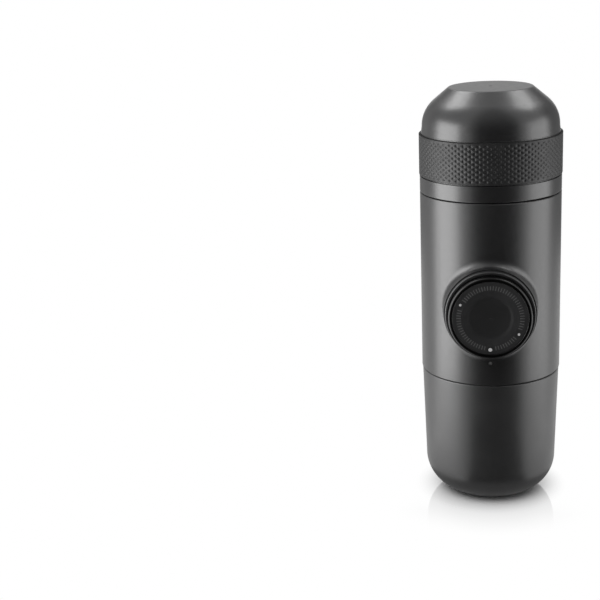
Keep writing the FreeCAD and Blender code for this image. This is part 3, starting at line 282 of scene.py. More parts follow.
class Finish(Tree):
    """One surface material with a Principled shader; its sockets come in_words_like_this."""

    def __init__(self, name, base, **sockets):
        self.material = bpy.data.materials.new(name)
        self.material.use_nodes = True
        super().__init__(self.material.node_tree)
        self.shader = self.tree.nodes["Principled BSDF"]
        self.base = tuple(base)
        self.feed(self.shader.inputs["Base Color"], (*self.base, 1.0))
        for words, value in sockets.items():
            socket = words.replace("_", " ").title().replace("Ior", "IOR")
            self.feed(self.shader.inputs[socket], value)
        self.place = self.add("ShaderNodeTexCoord").outputs["Object"]
        self.normal = None

    def noise(self, grain, detail=2.0):
        """Noise with grains of the given size."""
        return self.add("ShaderNodeTexNoise", {
            "Vector": self.place, "Scale": 1.0 / grain, "Detail": detail}).outputs["Fac"]

    def lines(self, axis, width, detail=2.0):
        """Hairlines that run across one axis: noise along that axis alone."""
        return self.add("ShaderNodeTexNoise", {
            "W": self.split(self.place)[axis], "Scale": 1.0 / width, "Detail": detail,
            "Roughness": HAIR_ROUGHNESS,
        }, noise_dimensions="1D").outputs["Fac"]

    def mix(self, kind, fac, first, second):
        """A mix of numbers (FLOAT) or colours (RGBA), with the first where fac is 0."""
        low, high, out = MIX_SOCKETS[kind]
        return self.add("ShaderNodeMix", {0: fac, low: first, high: second},
                        data_type=kind).outputs[out]

    def shade(self, fac, darkest, lightest):
        """The base colour times the darkest share up to the lightest, as the pattern goes."""
        low, high = (tuple(min(1.0, part * times) for part in self.base)
                     for times in (darkest, lightest))
        self.feed(self.shader.inputs["Base Color"],
                  self.mix("RGBA", fac, (*low, 1.0), (*high, 1.0)))

    def dull(self, fac, roughness, less, more):
        """Roughness that is less where the pattern is dark and more where it is light."""
        self.feed(self.shader.inputs["Roughness"],
                  self.ramp(fac, *NOISE_SPAN, roughness - less, roughness + more))

    def stain(self, fac, colour, roughness):
        """Another colour and roughness over the finish where the mask is 1: the flange's plating,
        and the painted seam shade.
        """
        for socket, kind, value in (("Base Color", "RGBA", (*colour, 1.0)),
                                    ("Roughness", "FLOAT", roughness)):
            under = self.shader.inputs[socket]
            self.feed(under, self.mix(kind, fac, under.links[0].from_socket, value))

    def bump(self, fac, depth):
        """Adds a relief of the given depth."""
        sockets = {"Height": fac, "Distance": depth}
        if self.normal:
            sockets["Normal"] = self.normal
        self.normal = self.add("ShaderNodeBump", sockets).outputs[0]
        self.feed(self.shader.inputs["Normal"], self.normal)

    def paint_seam_shade(self, height, start, end):
        """Painted shade along a seam round the maker, black and fully rough; start and end are
        distances from its height.
        """
        off = self.math("ABSOLUTE", self.math("SUBTRACT", self.split(self.place)["Z"], height))
        self.stain(self.ramp(off, start, end), SEAM_SHADE_COLOUR, SEAM_SHADE_ROUGHNESS)

    def done(self, relief, depth, seam_shade=None):
        """The material, with its last relief and its painted seam shade if it has one."""
        self.bump(relief, depth)
        if seam_shade:
            self.paint_seam_shade(*seam_shade)
        return self.material


# ---- finishes

CLOUD = 14 * MM         # size of the soft patches in a coat or moulding
SCUFF = 1.6 * MM        # size of faint handling marks
FLOW = 5 * MM           # size of flow marks in moulded plastic
PAINT_SPOT = 0.35 * MM  # size of thin and thick spots in paint
PAINT_SCUFF = 0.5 * MM
PAINT_GRAIN = 0.12 * MM
PAINT_GRAIN_DEPTH = 0.004 * MM
WIPE_HAIRS = 12         # hairlines in the width of one wipe mark
HAIR_SHARE = 0.5        # the hairlines' part in the steel's roughness
SILICONE_REACH = 1.5 * MM   # how far light goes into silicone

# Painted shade in the seam between tank and body, as distances from the seam's middle
SEAM_SHADE_HALF = 0.42 * MM   # from the middle of a seam to where it starts to darken
SEAM_SHADE_CORE = 0.7 * SEAM_SHADE_HALF     # and to where it is darkest
TANK_SEAM_SHADE = (SHELL[0].z, SEAM_SHADE_HALF, SEAM_SHADE_CORE)  # between tank and body
FACE_STEP = (7.8 * MM, 9.6 * MM)    # the step round the knob's sunken middle
FACE_STEP_DEPTH = 0.18 * MM
FLANGE_BACK_Y = KNOB_FACE_Y + 3.0 * MM  # back of the knob's flange


def satin_coat(name, base, roughness, grain, depth, seam_shade=None):
    """Even satin coat with soft patches and a fine orange-peel relief."""
    finish = Finish(name, base, specular_ior_level=0.8)
    finish.shade(finish.noise(CLOUD, detail=3.0), darkest=0.88, lightest=1.14)
    finish.dull(finish.noise(SCUFF, detail=4.0), roughness, less=0.025, more=0.025)
    return finish.done(finish.noise(grain), depth, seam_shade)


def moulded(name, base, roughness, grain, depth, seam_shade=None):
    """Moulded plastic with flow marks and a spark-eroded grain."""
    finish = Finish(name, base, specular_ior_level=0.8)
    finish.shade(finish.noise(FLOW), darkest=0.9, lightest=1.12)
    finish.dull(finish.noise(CLOUD, detail=5.0), roughness, less=0.04, more=0.05)
    return finish.done(finish.noise(grain, detail=3.0), depth, seam_shade)


def knob_face(name, base, roughness, grain, depth):
    """The knob's moulded face: a sunken middle with a soft step round it."""
    finish = Finish(name, base)
    middle = finish.add("ShaderNodeVectorMath", {
        0: finish.place, 1: (KNOB_X, 0.0, KNOB_Z)}, operation="SUBTRACT")
    flat = finish.add("ShaderNodeVectorMath", {0: middle, 1: (1.0, 0.0, 1.0)}, operation="MULTIPLY")
    away = finish.add("ShaderNodeVectorMath", {0: flat}, operation="LENGTH").outputs["Value"]
    ring = finish.ramp(away, *FACE_STEP, smooth=True)
    patches = finish.math("MULTIPLY", ring, finish.noise(FLOW))
    finish.shade(patches, darkest=0.85, lightest=1.5)
    finish.dull(finish.noise(CLOUD, detail=5.0), roughness, less=0.04, more=0.05)
    finish.bump(ring, FACE_STEP_DEPTH)
    return finish.done(finish.noise(grain, detail=3.0), depth)


def soft_rubber(name, base, roughness, grain, depth, seam_shade=None):
    """Dense rubber: even colour with dusty patches and a fine matt grain."""
    finish = Finish(name, base, specular_ior_level=0.4, sheen_weight=0.04, sheen_roughness=0.4)
    finish.shade(finish.noise(SCUFF, detail=4.0), darkest=0.85, lightest=1.2)
    finish.dull(finish.noise(FLOW, detail=3.0), roughness, less=0.05, more=0.06)
    return finish.done(finish.noise(grain, detail=3.0), depth, seam_shade)


def silicone(name, base, roughness, grain, depth):
    """Grey silicone that light enters a little."""
    finish = Finish(name, base, specular_ior_level=0.45, subsurface_weight=0.15,
                    subsurface_scale=SILICONE_REACH)
    finish.shade(finish.noise(FLOW, detail=3.0), darkest=0.92, lightest=1.08)
    finish.dull(finish.noise(SCUFF, detail=3.0), roughness, less=0.06, more=0.06)
    return finish.done(finish.noise(grain), depth)


def lined_steel(name, base, roughness, axis, width, depth):
    """Steel with hairlines across one axis, and faint wipe marks."""
    finish = Finish(name, base, metallic=1.0)
    hair = finish.lines(axis, width, detail=3.0)
    finish.shade(finish.lines(axis, WIPE_HAIRS * width), darkest=0.95, lightest=1.05)
    wiped = finish.math("MULTIPLY", finish.noise(FLOW, detail=4.0), 1.0 - HAIR_SHARE)
    worn = finish.math("ADD", finish.math("MULTIPLY", hair, HAIR_SHARE), wiped)
    finish.dull(worn, roughness, less=0.03, more=0.04)
    return finish.done(hair, depth)


def polished_plunger(metal):
    """The plunger's polished tube, whose flange round the knob's face has a dark plating."""
    finish = Finish("polished_plunger", metal.polished_colour, metallic=1.0)
    hair = finish.lines("Y", metal.hairline, detail=3.0)
    finish.shade(finish.lines("Y", WIPE_HAIRS * metal.hairline), darkest=0.97, lightest=1.03)
    wiped = finish.noise(FLOW, detail=4.0)
    finish.dull(wiped, metal.polished_roughness, less=0.03, more=0.03)
    finish.bump(hair, metal.polish_depth)
    flange = finish.math("LESS_THAN", finish.split(finish.place)["Y"], FLANGE_BACK_Y)
    finish.stain(flange, metal.flange_colour, metal.flange_roughness)
    return finish.material


def painted(name, base, roughness):
    """Pips and printed ticks: an even colour with thin and thick spots."""
    finish = Finish(name, base, specular_ior_level=0.4)
    finish.shade(finish.noise(PAINT_SPOT), darkest=0.85, lightest=1.1)
    finish.dull(finish.noise(PAINT_SCUFF), roughness, less=0.05, more=0.05)
    return finish.done(finish.noise(PAINT_GRAIN), PAINT_GRAIN_DEPTH)


def dress(material, *nodes):
    """Gives CAD nodes a finish."""
    for node in nodes:
        slots = frame["nodes"][node].material_slots
        if not slots:
            frame["nodes"][node].data.materials.append(material)
        for slot in slots:
            slot.material = material


# ---- mesh and nodes

def link(name, mesh):
    """A new object at the origin with the mesh."""
    made = bpy.data.objects.new(name, mesh)
    bpy.context.scene.collection.objects.link(made)
    return made


def mesh_of(name, points, faces):
    """A mesh of points and faces with its normals as the faces go."""
    mesh = bpy.data.meshes.new(name)
    mesh.from_pydata(points, [], faces)
    mesh.validate()
    return mesh


def node_group(name, sockets):
    """A new Geometry Nodes tree with its named inputs and their kinds."""
    group = bpy.data.node_groups.new(name, "GeometryNodeTree")
    group.interface.new_socket("Geometry", in_out="OUTPUT", socket_type="NodeSocketGeometry")
    for socket, kind in sockets.items():
        group.interface.new_socket(socket, in_out="INPUT", socket_type="NodeSocket" + kind)
    tree = Tree(group)
    inlet = tree.add("NodeGroupInput")
    outlet = tree.add("NodeGroupOutput")
    return tree, inlet.outputs, outlet.inputs[0]


def grow(name, tree, values):
    """Runs a Geometry Nodes tree and gives its result as a plain mesh."""
    made = link(name, bpy.data.meshes.new(name))
    modifier = made.modifiers.new("Nodes", "NODES")
    modifier.node_group = tree.tree
    for item in tree.tree.interface.items_tree:
        if item.in_out == "INPUT":
            modifier[item.identifier] = values[item.name]
    evaluated = made.evaluated_get(bpy.context.evaluated_depsgraph_get())
    mesh = bpy.data.meshes.new_from_object(evaluated)
    if not mesh.polygons:
        raise RuntimeError(f"{name} came out empty")
    made.modifiers.remove(modifier)
    made.data = mesh
    mesh.name = name
    return made


# ---- knurled band

PIT_SIDES = 12
PIT_RINGS = ((0.5, 0.93), (0.85, 0.45), (1.15, 0.03))   # shares of the pit's size and depth
PIT_ROUND = 0.5                 # from a diamond, 0, to an ellipse, 1
EDGE_STEPS = 3
WELD = 0.01 * MM                # points nearer than this become one
BAND_SHARP = math.radians(75)   # edges bent more than this stay sharp


def diamond(step):
    """Point of a unit diamond, after so many of the PIT_SIDES steps round it."""
    corners = ((1, 0), (0, 1), (-1, 0), (0, -1), (1, 0))
    side = PIT_SIDES // (len(corners) - 1)
    corner, part = divmod(step % PIT_SIDES, side)
    here, there = Vector(corners[corner]), Vector(corners[corner + 1])
    return here.lerp(there, part / side)


def pit_tile(grip, pitch):
    """One pit with the diamond of flat surface round it."""
    points = [(0.0, 0.0, -grip.pit_depth)]
    for size, depth in PIT_RINGS:
        for step in range(PIT_SIDES):
            turn = 2 * math.pi * step / PIT_SIDES
            rim = diamond(step).lerp(Vector((math.cos(turn), math.sin(turn))), PIT_ROUND)
            points.append((rim.x * size * grip.pit_width / 2, rim.y * size * grip.pit_height / 2,
                           -depth * grip.pit_depth))
    for step in range(PIT_SIDES):
        corner = diamond(step)
        points.append((corner.x * pitch / 2, corner.y * grip.row_pitch / 2, 0.0))
    faces = [(0, 1 + step, 1 + (step + 1) % PIT_SIDES) for step in range(PIT_SIDES)]
    for ring in range(len(PIT_RINGS)):
        low, high = 1 + ring * PIT_SIDES, 1 + (ring + 1) * PIT_SIDES
        for step in range(PIT_SIDES):
            after = (step + 1) % PIT_SIDES
            faces.append((low + step, high + step, high + after, low + after))
    return link("pit_tile", mesh_of("pit_tile", points, faces))


def edge_tile(grip, pitch, half):
    """Band edge over one column pitch: from the upper pits, over the edge and down the inside."""
    across = PIT_SIDES // 2
    peak = grip.rows * grip.row_pitch / 2
    rounding = [math.pi / 2 * step / EDGE_STEPS for step in range(EDGE_STEPS + 1)]
    inner = [(half, -grip.wall), (0.0, -grip.wall)]
    profile = [(half - grip.edge + grip.edge * math.sin(turn), grip.edge * (math.cos(turn) - 1))
               for turn in rounding] + inner
    points = []
    for column in range(across + 1):
        x = pitch * column / across
        dip = abs(abs(column - across / 2) - across / 2) / (across / 2)
        points.append((x, peak - dip * grip.row_pitch / 2, 0.0))
        points += [(x, y, z) for y, z in profile]
    deep = len(profile) + 1
    faces = []
    for column in range(across):
        for row in range(deep - 1):
            here = column * deep + row
            faces.append((here, here + deep, here + deep + 1, here + 1))
    return link("edge_tile", mesh_of("edge_tile", points, faces))


def knurl_tree():
    """Lays the tiles out flat, joins them and wraps them round the cup."""
    tree, given, out = node_group("Knurled Band", {
        "Pit": "Object", "Edge": "Object", "Columns": "Int", "Rows": "Int", "Column Pitch": "Float",
        "Row Pitch": "Float", "Radius": "Float", "Middle Height": "Float", "Finish": "Material"})
    pit = tree.add("GeometryNodeObjectInfo", {"Object": given["Pit"]}).outputs["Geometry"]
    edge = tree.add("GeometryNodeObjectInfo", {"Object": given["Edge"]}).outputs["Geometry"]
    fewer = tree.math("SUBTRACT", given["Columns"], 1.0)
    wide = tree.math("MULTIPLY", fewer, given["Column Pitch"])
    parts = []
    for less, shift in ((1.0, 0.0), (2.0, 0.5)):        # all rows, then the staggered rows between
        gaps = tree.math("SUBTRACT", given["Rows"], less)
        grid = tree.add("GeometryNodeMeshGrid", {
            "Size X": wide, "Size Y": tree.math("MULTIPLY", gaps, given["Row Pitch"]),
            "Vertices X": given["Columns"], "Vertices Y": tree.math("ADD", gaps, 1.0)})
        aside = tree.math("MULTIPLY", given["Column Pitch"], shift)
        offset = tree.add("ShaderNodeCombineXYZ", {"X": aside})
        moved = tree.add("GeometryNodeTransform", {
            "Geometry": grid.outputs[0], "Translation": offset})
        parts.append(tree.add("GeometryNodeInstanceOnPoints", {"Points": moved, "Instance": pit}))
    start = tree.add("ShaderNodeCombineXYZ", {"X": tree.math("MULTIPLY", wide, -0.5)})
    step = tree.add("ShaderNodeCombineXYZ", {"X": given["Column Pitch"]})
    line = tree.add("GeometryNodeMeshLine", {
        "Count": given["Columns"], "Start Location": start, "Offset": step})
    for flip in (0.0, math.pi):
        parts.append(tree.add("GeometryNodeInstanceOnPoints", {
            "Points": line, "Instance": edge, "Rotation": (0.0, 0.0, flip)}))
    joined = tree.add("GeometryNodeJoinGeometry")
    for part in parts:
        tree.feed(joined.inputs[0], part)
    flat = tree.add("GeometryNodeRealizeInstances", {"Geometry": joined})
    place = tree.split(tree.add("GeometryNodeInputPosition"))
    turn = tree.math("DIVIDE", place["X"], given["Radius"])
    reach = tree.math("ADD", given["Radius"], place["Z"])
    wrapped = tree.add("ShaderNodeCombineXYZ", {
        "X": tree.math("MULTIPLY", reach, tree.math("SINE", turn)),
        "Y": tree.math("MULTIPLY", tree.math("MULTIPLY", reach, tree.math("COSINE", turn)), -1.0),
        "Z": tree.math("ADD", place["Y"], given["Middle Height"])})
    bent = tree.add("GeometryNodeSetPosition", {"Geometry": flat, "Position": wrapped})
    closed = tree.add("GeometryNodeMergeByDistance", {"Geometry": bent, "Distance": WELD})
    smooth = tree.add("GeometryNodeSetShadeSmooth", {"Geometry": closed})
    real = tree.add("GeometryNodeRealizeInstances", {"Geometry": smooth})
    tree.feed(out, tree.add("GeometryNodeSetMaterial", {
        "Geometry": real, "Material": given["Finish"]}))
    return tree


def knurled_band(grip):
    """The cup's grip band with its lattice of diamond pits."""
    radius = BAND[1].x
    pitch = 2 * math.pi * radius / grip.columns
    half = (BAND[1].z - BAND[0].z) / 2 - grip.gap
    middle = (BAND[0].z + BAND[1].z) / 2
    # The band's upper and lower edges get painted shade, black, in place of the light their rounded
    # edges catch
    finish = soft_rubber("knurled_grip", grip.band_colour, grip.roughness, grip.grain,
                         grip.grain_depth, seam_shade=(middle, half - grip.edge, half - grip.edge / 2))
    pit, edge = pit_tile(grip, pitch), edge_tile(grip, pitch, half)
    band = grow("knurled_band", knurl_tree(), {
        "Pit": pit, "Edge": edge, "Columns": grip.columns, "Rows": grip.rows, "Column Pitch": pitch,
        "Row Pitch": grip.row_pitch, "Radius": radius, "Middle Height": middle, "Finish": finish})
    band.data.set_sharp_from_angle(angle=BAND_SHARP)
    for tile in (pit, edge):
        bpy.data.objects.remove(tile)
    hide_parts("cup_grip_band")
    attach(band, "cup")


# ---- knob ticks

DOT_ANGLES = (0.0, 59.8, -115.3)    # index dots, from below, towards the right
BELOW = -90.0                       # angle of straight below on the ring of ticks


def tick_tree():
    """Ticks on a ring, with a gap at each index dot, turned to face the front."""
    tree, given, out = node_group("Knob Ticks", {
        "Tick": "Object", "Count": "Int", "Ring": "Float", "Clear": "Float", "Centre": "Vector",
        "Finish": "Material"})
    ring = tree.add("GeometryNodeMeshCircle", {"Vertices": given["Count"], "Radius": given["Ring"]})
    place = tree.split(tree.add("GeometryNodeInputPosition"))
    turn = tree.math("ARCTAN2", place["Y"], place["X"])
    near = 0.0
    for degrees in DOT_ANGLES:
        off = tree.math("COSINE", tree.math("SUBTRACT", turn, math.radians(BELOW + degrees)))
        close = tree.math("GREATER_THAN", off, tree.math("COSINE", given["Clear"]))
        near = tree.math("MAXIMUM", near, close)
    kept = tree.add("GeometryNodeDeleteGeometry", {"Geometry": ring, "Selection": near})
    tick = tree.add("GeometryNodeObjectInfo", {"Object": given["Tick"]}).outputs["Geometry"]
    ticks = tree.add("GeometryNodeInstanceOnPoints", {
        "Points": kept, "Instance": tick,
        "Rotation": tree.add("ShaderNodeCombineXYZ", {"Z": turn})})
    real = tree.add("GeometryNodeRealizeInstances", {"Geometry": ticks})
    faced = tree.add("GeometryNodeTransform", {
        "Geometry": real, "Translation": given["Centre"], "Rotation": (math.pi / 2, 0.0, 0.0)})
    tree.feed(out, tree.add("GeometryNodeSetMaterial", {
        "Geometry": faced, "Material": given["Finish"]}))
    return tree


def knob_ticks(ticks):
    """A ring of plain ticks between the knob's index dots."""
    solid = bmesh.new()
    bmesh.ops.create_cube(solid, size=1.0, matrix=Matrix.Diagonal((
        ticks.tick_length, ticks.tick_width, 2 * ticks.proud, 1.0)))
    mesh = bpy.data.meshes.new("tick")
    solid.to_mesh(mesh)
    solid.free()
    tick = link("tick", mesh)
    ring = grow("knob_ticks", tick_tree(), {
        "Tick": tick, "Count": ticks.count, "Ring": ticks.ring, "Clear": ticks.clear,
        "Centre": (KNOB_X, KNOB_FACE_Y, KNOB_Z),
        "Finish": painted("tick_paint", ticks.tick_colour, ticks.roughness)})
    bpy.data.objects.remove(tick)
    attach(ring, "plunger")


# ---- springs

WIRE_SIDES = 10
STEPS_PER_TURN = 28
COIL_SHARP = math.radians(50)   # edges bent more than this stay sharp


def coil(name, foot, top, mean_radius, wire, turns):
    """A compression spring along the line from foot to top, with its end turns closed up."""
    axis = (top - foot).normalized()
    side = axis.orthogonal().normalized()
    across = axis.cross(side)
    steps = turns * STEPS_PER_TURN
    travel = (top - foot).length - 2 * wire
    dead = 2 * wire     # rise of one closed end turn
    middle = (travel - 2 * dead) / (turns - 2)
    points, faces = [], []
    for step in range(steps + 1):
        turn = step / STEPS_PER_TURN
        up = dead * min(turn, 1.0)
        up += middle * min(max(turn - 1.0, 0.0), turns - 2.0)
        up += dead * max(turn - (turns - 1.0), 0.0)
        phase = 2 * math.pi * turn
        out = side * math.cos(phase) + across * math.sin(phase)
        centre = foot + axis * (wire + up) + out * mean_radius
        for corner in range(WIRE_SIDES):
            bend = 2 * math.pi * corner / WIRE_SIDES
            points.append(centre + out * wire * math.cos(bend) + axis * wire * math.sin(bend))
    for step in range(steps):
        for corner in range(WIRE_SIDES):
            here = step * WIRE_SIDES + corner
            after = step * WIRE_SIDES + (corner + 1) % WIRE_SIDES
            faces.append((here, after, after + WIRE_SIDES, here + WIRE_SIDES))
    faces.append(tuple(reversed(range(WIRE_SIDES))))
    faces.append(tuple(steps * WIRE_SIDES + corner for corner in range(WIRE_SIDES)))
    spring = link(name, mesh_of(name, [tuple(point) for point in points], faces))
    solid = bmesh.new()
    solid.from_mesh(spring.data)
    bmesh.ops.recalc_face_normals(solid, faces=solid.faces)
    solid.to_mesh(spring.data)
    solid.free()
    spring.data.shade_smooth()
    spring.data.set_sharp_from_angle(angle=COIL_SHARP)
    return spring


def springs(settings):
    """The return spring and the two valve springs, each between the bodies that it pushes."""
    wire = lined_steel("spring_wire", settings.wire_colour, settings.roughness, "X",
                       settings.hairline, settings.hair_depth)
    low, high = RETURN_SPRING
    fixed = Vector((0.0, high.y, KNOB_Z))
    pushed = Vector((0.0, low.y, KNOB_Z))
    radius = (high.x - low.x) / 2 - settings.return_wire
    back = coil("return_coil", fixed, pushed, radius, settings.return_wire, settings.return_turns)
    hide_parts("return_spring")
    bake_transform(back)
    made = [back]
    for node, body, (low, high) in (("inlet_valve", "inlet_ball", INLET_SPRING),
                                    ("outlet_valve", "outlet_ball", OUTLET_SPRING)):
        middle = (low + high) / 2
        fixed = Vector((middle.x, middle.y, high.z))
        ball = Vector((middle.x, middle.y, low.z))
        radius = (high.x - low.x) / 2 - settings.valve_wire
        valve = coil(node + "_coil", ball, fixed, radius, settings.valve_wire, settings.valve_turns)
        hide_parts(node + "_spring")
        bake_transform(valve)
        made.append(valve)
    for spring in made:
        spring.data.materials.append(wire)


# ---- studio

# Softboxes: azimuth and elevation from the maker, distance, width and height
LEFT_BOX = (-70.0, 0.0, 0.165, 0.125, 0.23)
RIGHT_BOX = (80.0, 0.0, 0.165, 0.125, 0.23)
UPPER_LEFT_BOX = (-128.0, 54.0, 0.6, 0.3, 0.25)
UPPER_RIGHT_BOX = (116.0, 54.0, 0.6, 0.3, 0.24)
DAY_BOX = (-25.0, 52.0, 1.5, 1.4, 1.0)  # large lamp that lights the colours
SIDE_AIM = 0.1              # height that the side boxes and the large lamp point at
UPPER_AIM = 0.165           # height that the upper boxes point at

# Cards that only reflections see. The front one: azimuths, distance, heights where its grey starts
# to change, where it bends inwards and where it ends, and its lower and upper grey
FRONT_CARD = ((-30.0, 47.0), 0.3, (0.2, 0.46, 0.66), (0.01, 0.5))
CARD_NEAR = 0.036           # inner edge of the front card's floor part
CARD_OVERHEAD = 0.05        # how near its upper end comes

# Upright ones behind the maker: azimuths, distance, lower and upper end, greys at those
REAR_CARDS = (
    ((108.0, 140.0), 0.42, (0.0, 0.42), (0.34, 0.34)),
    ((140.0, 160.0), 0.42, (0.0, 0.42), (0.26, 0.26)),
    ((200.0, 220.0), 0.42, (0.0, 0.42), (0.38, 0.38)),
    ((220.0, 252.0), 0.42, (0.0, 0.42), (0.62, 0.62)),
    ((160.0, 200.0), 0.42, (0.212, 0.36), (0.58, 0.58)),
)

# Flat ones on the floor: azimuths, nearest and farthest edge, brightness
FLOOR_CARDS = (
    ((-100.0, -48.0), (0.07, 0.16), 2.2),
    ((55.0, 100.0), (0.07, 0.16), 1.6),
    # the near grey one round the foot is painted shade: reflections see it in place of the floor's
    # shadow there
    ((-110.0, 110.0), (0.02, 0.036), 0.28),
)
FLAT_HEIGHTS = (0.0, 1.0)   # a flat card's grey is the same at both
CARD_LIFT = 0.4 * MM        # how far the cards stand over the foot
CARD_STEPS = 12

FLOOR_SIDES = 96
FLOOR_DROP = 0.05 * MM
FLOOR_GREY = 0.8
SHADOW_FADE = (0.018, 0.034)    # the shadow turns to plain white between these radii
POLISH_FADE = (0.01, 0.056)     # and the polish goes between these
POLISH = 0.36               # share of the polish at the maker's foot
POLISH_ROUGHNESS = 0.06
WHITE = (1.0, 1.0, 1.0, 1.0)


def on_ring(azimuth, distance, height):
    """A point round the maker: azimuth 0 is in front, and 90 is to the right."""
    turn = math.radians(azimuth)
    return Vector((distance * math.sin(turn), -distance * math.cos(turn), height))


def softbox(name, box, middle, brightness, reflected=True):
    """A lamp of even brightness: only reflections see it, or else it only lights."""
    azimuth, elevation, distance, width, height = box
    rise = math.radians(elevation)
    aim = Vector((0.0, 0.0, middle))
    place = on_ring(azimuth, distance * math.cos(rise), middle + distance * math.sin(rise))
    lamp = bpy.data.lights.new(name, "AREA")
    lamp.shape = "RECTANGLE"
    lamp.size, lamp.size_y = width, height
    lamp.energy = brightness * math.pi * width * height
    made = bpy.data.objects.new(name, lamp)
    made.location = place
    made.rotation_euler = (aim - place).to_track_quat("-Z", "Y").to_euler()
    made.visible_camera = False
    made.visible_diffuse = not reflected
    made.visible_glossy = reflected
    bpy.context.scene.collection.objects.link(made)


def background_rays(tree):
    """1 for rays that see the background: those of camera, gloss and glass."""
    rays = tree.add("ShaderNodeLightPath").outputs
    seen = tree.math("ADD", rays["Is Camera Ray"], rays["Is Glossy Ray"])
    seen = tree.math("ADD", seen, rays["Is Transmission Ray"])
    return tree.math("MINIMUM", seen, 1.0)


def show_front(tree, surface):
    """Shows the surface on its front, and nothing from behind."""
    mixed = tree.add("ShaderNodeMixShader", {
        0: tree.add("ShaderNodeNewGeometry").outputs["Backfacing"], 1: surface,
        2: tree.add("ShaderNodeBsdfTransparent")})
    tree.feed(tree.tree.nodes["Material Output"].inputs["Surface"], mixed)


def floor_material():
    """Pale floor with shadow and polish near the maker, and plain white away from it."""
    material = bpy.data.materials.new("pale_floor")
    material.use_nodes = True
    tree = Tree(material.node_tree)
    surface = tree.tree.nodes["Principled BSDF"]
    tree.feed(surface.inputs["Base Color"], (FLOOR_GREY, FLOOR_GREY, FLOOR_GREY, 1.0))
    tree.feed(surface.inputs["Specular IOR Level"], 0.0)
    place = tree.add("ShaderNodeTexCoord").outputs["Object"]
    away = tree.add("ShaderNodeVectorMath", {0: place}, operation="LENGTH").outputs["Value"]
    seen = background_rays(tree)
    shaded = tree.add("ShaderNodeMixShader", {
        0: tree.math("MULTIPLY", tree.ramp(away, *SHADOW_FADE, smooth=True), seen), 1: surface,
        2: tree.add("ShaderNodeEmission")})
    polish = tree.add("ShaderNodeBsdfAnisotropic", {"Color": WHITE, "Roughness": POLISH_ROUGHNESS})
    polished = tree.add("ShaderNodeMixShader", {
        0: tree.math("MULTIPLY", tree.ramp(away, *POLISH_FADE, POLISH, 0.0, smooth=True), seen),
        1: shaded, 2: polish})
    show_front(tree, polished)
    return material


def card_material(name, heights, greys):
    """Card with a grey at each of two heights and an even change between them."""
    material = bpy.data.materials.new(name)
    material.use_nodes = True
    tree = Tree(material.node_tree)
    tree.tree.nodes.remove(tree.tree.nodes["Principled BSDF"])
    up = tree.split(tree.add("ShaderNodeTexCoord").outputs["Object"])["Z"]
    show_front(tree, tree.add("ShaderNodeEmission", {"Strength": tree.ramp(up, *heights, *greys)}))
    return material


def floor(radius):
    """Round floor under the tank's foot."""
    disc = bmesh.new()
    bmesh.ops.create_circle(disc, cap_ends=True, segments=FLOOR_SIDES, radius=radius)
    mesh = bpy.data.meshes.new("floor")
    disc.to_mesh(mesh)
    disc.free()
    mesh.transform(Matrix.Translation((0.0, 0.0, TANK[0].z - FLOOR_DROP)))
    mesh.materials.append(floor_material())
    made = link("floor", mesh)


def card(name, azimuths, profile, heights, greys):
    """Card curved round the maker with its face towards it; profile has reaches and heights."""
    first, last = azimuths
    turns = [first + (last - first) * step / CARD_STEPS for step in range(CARD_STEPS + 1)]
    points = [tuple(on_ring(turn, reach, height)) for turn in turns for reach, height in profile]
    rows = len(profile)
    faces = [(here, here + 1, here + 1 + rows, here + rows)
             for step in range(CARD_STEPS) for here in range(step * rows, step * rows + rows - 1)]
    mesh = mesh_of(name, points, faces)
    mesh.materials.append(card_material(name, heights, greys))
    made = link(name, mesh)
    for rays in ("camera", "diffuse", "shadow", "transmission"):
        setattr(made, "visible_" + rays, False)


def cards():
    """A dark card in front, grey ones behind the maker and flat ones on the floor round it."""
    azimuths, reach, heights, greys = FRONT_CARD
    base = TANK[0].z + CARD_LIFT
    low, bend, top = heights
    profile = ((CARD_NEAR, base), (reach, base), (reach, bend), (CARD_OVERHEAD, top))
    card("front_card", azimuths, profile, (low, top), greys)
    for place, (azimuths, reach, heights, greys) in enumerate(REAR_CARDS):
        profile = ((reach, base + heights[0]), (reach, heights[1]))
        card(f"rear_card_{place}", azimuths, profile, heights, greys)
    for place, (azimuths, (near, far), grey) in enumerate(FLOOR_CARDS):
        profile = ((near, base), (far, base))
        card(f"side_card_{place}", azimuths, profile, FLAT_HEIGHTS, (grey, grey))


def world(fill):
    """White where it is seen, and a plain grey as light."""
    sky = bpy.data.worlds.new("room")
    sky.use_nodes = True
    tree = Tree(sky.node_tree)
    lit = tree.tree.nodes["Background"]
    tree.feed(lit.inputs["Color"], WHITE)
    tree.feed(lit.inputs["Strength"], fill)
    seen = tree.add("ShaderNodeBackground", {"Color": WHITE})
    mixed = tree.add("ShaderNodeMixShader", {0: background_rays(tree), 1: lit, 2: seen})
    tree.feed(tree.tree.nodes["World Output"].inputs["Surface"], mixed)
    bpy.context.scene.world = sky


def lamps(settings):
    """Softboxes beside and above the maker, and one large lamp."""
    softbox("left_softbox", LEFT_BOX, SIDE_AIM, settings.left_light)
    softbox("right_softbox", RIGHT_BOX, SIDE_AIM, settings.right_light)
    softbox("upper_left_softbox", UPPER_LEFT_BOX, UPPER_AIM, settings.upper_left_light)
    softbox("upper_right_softbox", UPPER_RIGHT_BOX, UPPER_AIM, settings.upper_right_light)
    softbox("day_softbox", DAY_BOX, SIDE_AIM, settings.day_light, reflected=False)


def camera(settings):
    """The camera, without shift."""
    lens = bpy.data.cameras.new("camera")
    lens.lens = settings.lens
    eye = bpy.data.objects.new("camera", lens)
    eye.matrix_world = (Matrix.Translation(settings.eye) @ Matrix.Rotation(settings.yaw, 4, "Z")
                        @ Matrix.Rotation(math.pi / 2 - settings.pitch, 4, "X")
                        @ Matrix.Rotation(settings.roll, 4, "Z"))
    bpy.context.scene.collection.objects.link(eye)
    bpy.context.scene.camera = eye


# ---- operators

